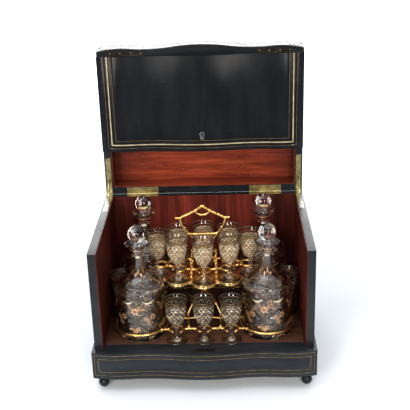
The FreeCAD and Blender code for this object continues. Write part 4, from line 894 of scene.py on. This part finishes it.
class Casting:
    """Wires, knots and buds that are fused into one cast skin."""

    def __init__(self):
        self.points = []
        self.faces = []

    def wire(self, path, radius, wobble, taper=None):
        """A branch of uneven thickness along a smooth path of (x, y, z) in millimetres."""
        line = spline(path, BRANCH_STEP)
        count = len(line)
        ahead = np.gradient(line, axis=0)
        ahead /= np.linalg.norm(ahead, axis=1)[:, None]
        side = np.cross(ahead[0], (0.31, 0.22, 0.93))
        first = len(self.points)
        for index in range(count):
            side = side - ahead[index] * (side @ ahead[index])
            side /= np.linalg.norm(side)
            third = np.cross(ahead[index], side)
            grain = noise.noise(Vector(line[index]) * 0.21) + 0.6 * noise.noise(Vector(line[index]) * 0.55)
            reach = radius * (1 + wobble * grain)
            if taper is not None:
                reach *= taper[0] + (taper[1] - taper[0]) * index / max(1, count - 1)
            for spoke in np.arange(SPOKES) / SPOKES * TURN:
                self.points.append(line[index] + (side * cos(spoke) + third * sin(spoke)) * reach)
        self.faces.extend(quads(first, count, SPOKES))
        self.faces.append(tuple(reversed(range(first, first + SPOKES))))
        self.faces.append(tuple(range(first + (count - 1) * SPOKES, first + count * SPOKES)))

    def knot(self, point, radius, flat=1):
        """A swelling of the branch."""
        first = len(self.points)
        for row in range(KNOT_ROWS + 1):
            polar = pi * (KNOT_ROWS - row) / KNOT_ROWS
            for spoke in np.arange(SPOKES) / SPOKES * TURN:
                self.points.append(np.array(point, float) + radius * np.array((
                    sin(polar) * cos(spoke), sin(polar) * sin(spoke),
                    flat * cos(polar))))
        self.faces.extend(quads(first, KNOT_ROWS + 1, SPOKES))

    def mirror(self, wires, knots, ends=(-1, 1)):
        """Adds wires and knots of the right side on both sides, at the back (1) and the front (-1)."""
        for side in (-1, 1):
            for end in ends:
                for path, radius, wobble in wires:
                    self.wire([at(x * side, y * end, z) for x, y, z in path], radius, wobble)
                for x, y, z, *sizes in knots:
                    self.knot(at(x * side, y * end, z), *sizes)

    def cast(self, name, voxel, finish):
        """One fused mesh."""
        rough = build_mesh(name + "_rough", self.points, self.faces)
        block = new_object(name + "_rough", rough)
        remesh = block.modifiers.new("fuse", "REMESH")
        remesh.mode = "VOXEL"
        remesh.voxel_size = voxel * MM
        remesh.use_smooth_shade = True
        soften = block.modifiers.new("soften", "SMOOTH")
        soften.factor = 0.5
        soften.iterations = 4
        ready = block.evaluated_get(bpy.context.evaluated_depsgraph_get())
        mesh = bpy.data.meshes.new_from_object(ready)
        mesh.name = name
        bpy.data.objects.remove(block)
        mesh.materials.clear()
        mesh.materials.append(finish)
        return mesh


# Sizes and places on the carrier in millimetres, from its middle and from its board's top
LATTICE_Z = 16
CLIP = 10.4
CLIP_Y = 83
GAP = 37
RING_X = 97
RING_Y = 60
RING = 40.6
RING_FRONT = 80
SIDE_CLIP_X = 127
LEG_X = 25

# Where bars meet the rings: towards the clips, and towards the middle
MEET = 37
MEET_X = RING_X - RING * cos(radians(MEET))
MEET_Y = RING * sin(radians(MEET))
HOLD = radians(13.5)
HOLD_X = RING_X - RING * cos(HOLD)
HOLD_Y = RING_Y - RING * sin(HOLD)


def at(x, y, z):
    """A point of the carrier, from its middle and with heights above its board."""
    return (x, CARRIER_Y + y, BOARD_Z + z)


def arc(x, y, z, radius, start, end, count):
    """Points on a level arc, with angles in degrees."""
    return [at(x + radius * cos(radians(a)), y + radius * sin(radians(a)), z)
            for a in np.linspace(start, end, count)]


def clip_half(x, y, side, end):
    """The front of a clip, from the tip by its opening to its left or right side."""
    start = 0 if side > 0 else 180
    return arc(x, y, LATTICE_Z, CLIP, start, start + (90 - GAP) * side * end, 6)[::-1]


def ring_and_clips(casting, side, end):
    """A decanter's ring, the clip beside it, and the branch from there to the middle clip."""
    z = LATTICE_Z
    ring_x, ring_y = RING_X * side, RING_Y * end
    clip_x, clip_y = STEP_X * side, CLIP_Y * end
    near_x, near_y = MEET_X * side, (RING_Y + MEET_Y) * end
    meet = (180 - MEET if side > 0 else MEET) * end
    last = 90 * end - RING_FRONT * side * end
    clip_front = clip_half(clip_x, clip_y, side, end)
    bar_x = (clip_x + CLIP * side + near_x) / 2
    bar_y = (clip_y + near_y) / 2
    front = arc(ring_x, ring_y, z, RING, meet, last, 12)
    casting.wire(clip_front + [at(bar_x, bar_y - 0.8 * end, z)] + front, 1.95, 0.12)
    casting.knot(clip_front[0], 2.4)
    casting.knot(at(near_x, near_y, z), 3)
    casting.knot(at(bar_x, bar_y, z), 2.4)
    casting.wire(arc(ring_x, ring_y, z, RING, last, meet + (-360 if last < meet else 360), 30), 1.6, 0.18)
    middle_front = clip_half(0, clip_y, side, end)
    inner_front = clip_half(clip_x, clip_y, -side, end)[::-1]
    bridge = at(clip_x / 2, (CLIP_Y - 1.2) * end, z)
    casting.wire(middle_front + [bridge] + inner_front, 1.9, 0.14)
    casting.knot(bridge, 2.6)
    casting.knot(middle_front[0], 2.3)
    casting.knot(inner_front[-1], 2.3)
    casting.wire(arc(clip_x, clip_y, z, CLIP, 0, -180 * end, 12), 1.6, 0.2)


def lower_lattice():
    """Rings for the decanters and clips for the stems, flowing into each other through knots."""
    casting = Casting()
    z = LATTICE_Z
    for end in (-1, 1):
        for side in (-1, 1):
            ring_and_clips(casting, side, end)
        casting.wire(arc(0, CLIP_Y * end, z, CLIP, 0, -180 * end, 12), 1.6, 0.2)
        y = HOLD_Y * end
        casting.wire([at(-HOLD_X, y, z), at(-LEG_X, y, z), at(-10, y - end, z + 0.6),
                      at(0, y - 1.4 * end, z + 0.8), at(10, y - end, z + 0.6), at(LEG_X, y, z),
                      at(HOLD_X, y, z)], 1.7, 0.2)
        for x in (-HOLD_X, -LEG_X, 0, LEG_X, HOLD_X):
            casting.knot(at(x, y - (1.4 * end if x == 0 else 0), z), 2.7)
    for side in (-1, 1):
        x = MEET_X * side
        y = RING_Y - MEET_Y
        casting.wire([at(x, -y, z), at(x, 0, z), at(x, y, z)], 1.6, 0.2)
        hub = SIDE_CLIP_X * side
        clip_x = hub - CLIP * side
        middle = (x + clip_x) / 2
        casting.wire([at(x, 0, z), at(middle, 0.8, z), at(clip_x, 0, z)], 1.6, 0.2)
        facing = 0 if side > 0 else 180
        clip_arc = arc(hub, 0, z, CLIP, facing + GAP, facing + 360 - GAP, 24)
        casting.wire(clip_arc, 1.7, 0.16)
        for point in (clip_arc[0], clip_arc[-1], at(x, 0, z), at(x, y, z), at(x, -y, z),
                      at(clip_x, 0, z), at(middle, 0.4, z)):
            casting.knot(point, 2.5)
    return casting.cast("lower_lattice_cast", 0.55, GILT_PAINTED_SHADE)


def carrier_legs():
    """Four branches with flared feet that lean in and meet under the tray."""
    casting = Casting()
    x, y = LEG_X, HOLD_Y
    casting.mirror([
        ([(x, y, 0.9), (25.4, y, 8), (x, y, 16), (24.8, y, 24.5), (18, y * 0.72, 34), (9, y * 0.34, 37.6),
          (3.6, y * 0.075, 39.6)], 1.85, 0.2),
    ], [(x, y, 1.5, 3.9, 0.38), (x, y, 24.5, 2.7), (18, y * 0.72, 34, 2.7), (26.4, y, 9.5, 1.6),
        (23.6, y, 20, 1.5)])
    return casting.cast("carrier_legs_cast", 0.5, GILT_PAINTED_SHADE)


# The upper glasses' places and the ways that their clips open, in degrees
UPPER = [(0, -29, -90), (-40.5, -20, -125), (40.5, -20, -55), (-73, 0, 180),
         (73, 0, 0), (-40.5, 20, 125), (40.5, 20, 55), (0, 29, 90)]
LINKS = ((0, 1), (0, 2), (1, 3), (2, 4), (3, 5), (4, 6), (5, 7), (6, 7))
UPPER_Z = 86
UPPER_GAP = 28
HUB_INSET = 5
POST_X = 19.5
POST_Y = 18
TRAY_Z = 70
SCALLOP = 19.4
TRAY_BARS = ((73, 18.5), (40.5, 31.5))
# The tray's edge: distance in from its outline and depth under its top
TRAY_EDGE = [(3.2, 0.28), (2.2, 0.3), (1.7, 0.05), (1.1, 0), (0.5, 0.15), (0.08, 0.7), (0.05, 1.2),
             (0.4, 1.7), (1.3, 2), (1.4, 2.5), (1.3, 3.1), (0.4, 3.4), (0.05, 3.9), (0.05, 4.5),
             (0.5, 5.15), (1.3, 5.4)]


def upper_hubs():
    """Middles of the upper clips, a little inside their glasses, and the ways they open."""
    return [(x - HUB_INSET * cos(radians(facing)), y - HUB_INSET * sin(radians(facing)),
             facing) for x, y, facing in UPPER]


def upper_lattice():
    """A wavy line of clips round the upper glasses' stems."""
    casting = Casting()
    z = UPPER_Z
    hubs = upper_hubs()
    for x, y, facing in hubs:
        clip_arc = arc(x, y, z, CLIP, facing + UPPER_GAP, facing + 360 - UPPER_GAP, 24)
        casting.wire(clip_arc[:9], 1.9, 0.1, (0.82, 1))
        casting.wire(clip_arc[7:17], 1.55, 0.18)
        casting.wire(clip_arc[15:], 1.9, 0.1, (1, 0.82))
    for first, second in LINKS:
        x1, y1, _ = hubs[first]
        x2, y2, _ = hubs[second]
        run = hypot(x2 - x1, y2 - y1)
        dx, dy = (x2 - x1) / run, (y2 - y1) / run
        start = at(x1 + dx * CLIP, y1 + dy * CLIP, z)
        end = at(x2 - dx * CLIP, y2 - dy * CLIP, z)
        middle = at((x1 + x2) / 2, (y1 + y2) / 2, z + 0.5)
        casting.wire([start, middle, end], 1.75, 0.18)
        for point in (start, middle, end):
            casting.knot(point, 2.45)
    x, y = POST_X, POST_Y
    hub_x, hub_y, _ = min(hubs, key=lambda hub: hypot(hub[0] - x, hub[1] - y))
    share = CLIP / hypot(x - hub_x, y - hub_y)
    tip = (hub_x + (x - hub_x) * share, hub_y + (y - hub_y) * share, z)
    casting.mirror([([(x, y, z), tip], 1.5, 0.1)], [(x, y, z, 2.3, 1.1)])
    return casting.cast("upper_lattice_cast", 0.5, GILT)


def upper_posts():
    """Knotted posts with bud tops, twigs and flared feet."""
    casting = Casting()
    x, y = POST_X, POST_Y
    casting.mirror([
        ([(x, y, 70.6), (x + 0.4, y, 78), (x, y, 86), (x - 0.3, y, 94), (x, y, 101)], 1.75, 0.22),
        ([(x, y, 96), (x - 1.6, y, 98.4), (x - 3, y, 99.6)], 1.3, 0.1),
    ], [(x, y, 71.2, 3.3, 0.55), (x, y, 78, 2.4), (x, y, 96, 2.3), (x, y, 101, 2.4), (x - 3, y, 99.8, 1.5)])
    return casting.cast("upper_posts_cast", 0.5, GILT)


def carrier_handle():
    """The branch handle: a five-sided loop with stubs, a knobby top and a small oval eye."""
    casting = Casting()
    casting.wire([at(-21.5, 0, 138), at(-8, 0, 137.4), at(8, 0, 137.6), at(21.5, 0, 138)], 1.8, 0.2)
    casting.knot(at(0, 0, 137.2), 2.6)
    casting.mirror([
        ([(21.5, 0, 138), (28.8, 0, 147.6), (32.6, 0, 154.5), (35.5, 0, 164.5)], 1.95, 0.18),
        ([(35.5, 0, 164.5), (26, 0, 169.4), (11, 0, 177.2), (5.5, 0, 181.2), (0, 0, 184)], 1.95, 0.18),
        ([(35.5, 0, 164.5), (41, 0, 165)], 1.85, 0.15),
        ([(21.5, 0, 138), (19.4, 0, 135.2), (17.5, 0, 132)], 1.75, 0.15),
        ([(11, 0, 177.2), (8.6, 0, 173.2), (4.6, 0, 170.6), (0, 0, 170)], 1.8, 0.16),
    ], [(21.5, 0, 138, 2.7), (28.8, 0, 148.6, 2.3), (33.8, 0, 158.5, 2.1), (35.5, 0, 164.5, 2.7),
        (41, 0, 165, 2.1), (30.5, 0, 167.4, 2.2), (25.5, 0, 169.8, 2.3), (18, 0, 173.6, 2.2),
        (11, 0, 177.2, 2.8), (17.5, 0, 132, 2), (2.2, 0, 184.2, 2.2)], (1,))
    casting.knot(at(0, 0, 184.2), 2.4)
    return casting.cast("carrier_handle_cast", 0.45, GILT)


def turned_on_board(name, runs, segments):
    """A gilt turned piece in the middle of the carrier, with heights above its board."""
    mesh = lathe(name, runs, segments, GILT)
    for vertex in mesh.vertices:
        vertex.co += Vector((0, CARRIER_Y * MM, BOARD_Z * MM))
    return mesh


def handle_column():
    """The slim turned stem between the tray and the handle."""
    low = TRAY_Z
    return turned_on_board("handle_column_turned", [
        ([(0, low), (5.2, low)], 3),
        ([(5.2, low), (5.1, low + 1.6), (3.6, low + 3.2), (2.5, low + 4.6)], 0.6),
        ([(2.5, low + 4.6), (2.2, low + 12), (3.4, low + 16.5), (2.2, low + 21), (2.2, low + 29),
          (3.5, low + 33), (2.2, low + 37), (2.2, low + 45), (3.4, low + 49.5), (2.2, low + 54),
          (2.3, low + 64), (2.4, low + 66)], 0.8),
        ([(2.4, low + 66), (0, low + 66.4)], 1),
    ], 24)


def centre_boss():
    """The boss where the branches meet, and the collar that carries the tray."""
    return turned_on_board("centre_boss_turned", [
        ([(0, 34.8), (2.6, 35.4), (4.6, 37.4), (5.2, 40), (4.6, 42.6), (3.2, 44.8)], 0.7),
        ([(3.2, 44.8), (2.8, 50), (3, 56), (3.6, 59.4), (5.2, 61.4), (5.2, 63.2), (5.1, 64.6)], 0.9),
        ([(5.1, 64.6), (0, 64.6)], 3),
    ], 32)


def tray_reach(turn):
    """How far the scalloped tray reaches from its middle, at an angle."""
    across, ahead = cos(turn), sin(turn)
    far = max(min(wide / max(1e-6, abs(across)), deep / max(1e-6, abs(ahead))) for wide, deep in TRAY_BARS)
    for x, y, _ in UPPER:
        along = x * across + y * ahead
        off = abs(x * ahead - y * across)
        if off < SCALLOP:
            far = max(far, along + sqrt(SCALLOP ** 2 - off ** 2))
    return far


def upper_tray():
    """The scalloped tray with two gilt beads and a dark groove round its edge."""
    count = 420
    turns = [TURN * index / count for index in range(count)]
    line = np.array([tray_reach(turn) * np.array((cos(turn), sin(turn))) for turn in turns])
    for _ in range(2):
        line = (np.roll(line, 1, 0) + line * 2 + np.roll(line, -1, 0)) / 4
    ahead = np.roll(line, -1, 0) - np.roll(line, 1, 0)
    outward = np.stack((ahead[:, 1], -ahead[:, 0]), 1)
    outward /= np.linalg.norm(outward, axis=1)[:, None]
    points = [at(0, 0, TRAY_Z - TRAY_EDGE[0][1])]
    for inset, depth in TRAY_EDGE:
        points.extend(at(x, y, TRAY_Z - depth) for x, y in line - outward * inset)
    points.append(at(0, 0, TRAY_Z - TRAY_EDGE[-1][1]))
    faces = []
    last = 1 + (len(TRAY_EDGE) - 1) * count
    for index in range(count):
        after = (index + 1) % count
        faces.append((0, 1 + index, 1 + after))
        for a in range(1, last, count):
            faces.append((a + index, a + count + index, a + count + after, a + after))
        faces.append((last + index, len(points) - 1, last + after))
    return build_mesh("upper_tray_beaded", points, faces, GILT_TRAY)


for node, make in (("lower_lattice", lower_lattice), ("carrier_legs", carrier_legs),
                   ("upper_lattice", upper_lattice), ("upper_posts", upper_posts),
                   ("carrier_handle", carrier_handle), ("handle_column", handle_column),
                   ("centre_boss", centre_boss), ("upper_tray", upper_tray)):
    made = make()
    add_piece(made.name, made, "carrier", [node])

ease_edges(0.5, "right_wall", "left_wall", "back_wall", "lid_frame", "lid_top", "plinth", "front_flap")
ease_edges(0.3, "carrier_board")


# Floor and lights

FLOOR_REACH = 9
SKY_LEAN = 0.3
SKY_STRENGTH = 1.05


def add_floor():
    mesh = bpy.data.meshes.new("floor")
    corners = [(FLOOR_REACH * x, FLOOR_REACH * y, 0) for x, y in ((-1, -1), (1, -1), (1, 1), (-1, 1))]
    mesh.from_pydata(corners, [], [(0, 1, 2, 3)])
    mesh.materials.append(floor_paper())
    sheet = new_object("floor", mesh)


def add_light(name, place, target, size, power, colour=(1, 1, 1)):
    data = bpy.data.lights.new(name, "AREA")
    data.shape = "RECTANGLE"
    data.size, data.size_y = size
    data.energy = power
    data.color = colour
    lamp = new_object(name, data)
    lamp.location = place
    lamp.rotation_euler = (Vector(target) - Vector(place)).to_track_quat("-Z", "Y").to_euler()


def add_sky():
    """Studio surroundings: bright above and behind the box, dark in front of it."""
    world = bpy.data.worlds.new("studio")
    sky = Nodes(world)
    parts = sky.node("SeparateXYZ")
    sky.link(sky.node("TexCoord").outputs["Generated"], parts.inputs[0])
    lean = sky.maths("MULTIPLY_ADD", parts.outputs["Y"], SKY_LEAN, parts.outputs["Z"])
    band = sky.ramp(lean, (0.22, (0.015, 0.016, 0.018)), (0.66, (0.95, 0.96, 0.98)))
    background = sky.tree.nodes["Background"]
    sky.link(band, background.inputs["Color"])
    background.inputs["Strength"].default_value = SKY_STRENGTH
    bpy.context.scene.world = world


add_floor()
add_sky()
add_light("top_softbox", (-0.55, -0.25, 2.2), (0, 0, 0.1), (1.6, 1.4), 16, (0.97, 0.99, 1))
add_light("back_lamp", (0, 2.6, 2.2), (0, 3.2, 0), (3, 1.6), 90)
add_light("far_softbox", (0, 3, 1.065), (0, 0, 0.42), (2.4, 0.5), 40)
add_light("left_lamp", (-0.85, -2.1, 0.95), (0, 0, 0.2), (0.45, 0.9), 28, (1, 0.95, 0.88))
add_light("right_lamp", (0.62, -2.1, 1), (0, 0, 0.2), (0.42, 0.86), 21, (1, 0.95, 0.88))
bpy.context.scene.view_settings.view_transform = "Standard"
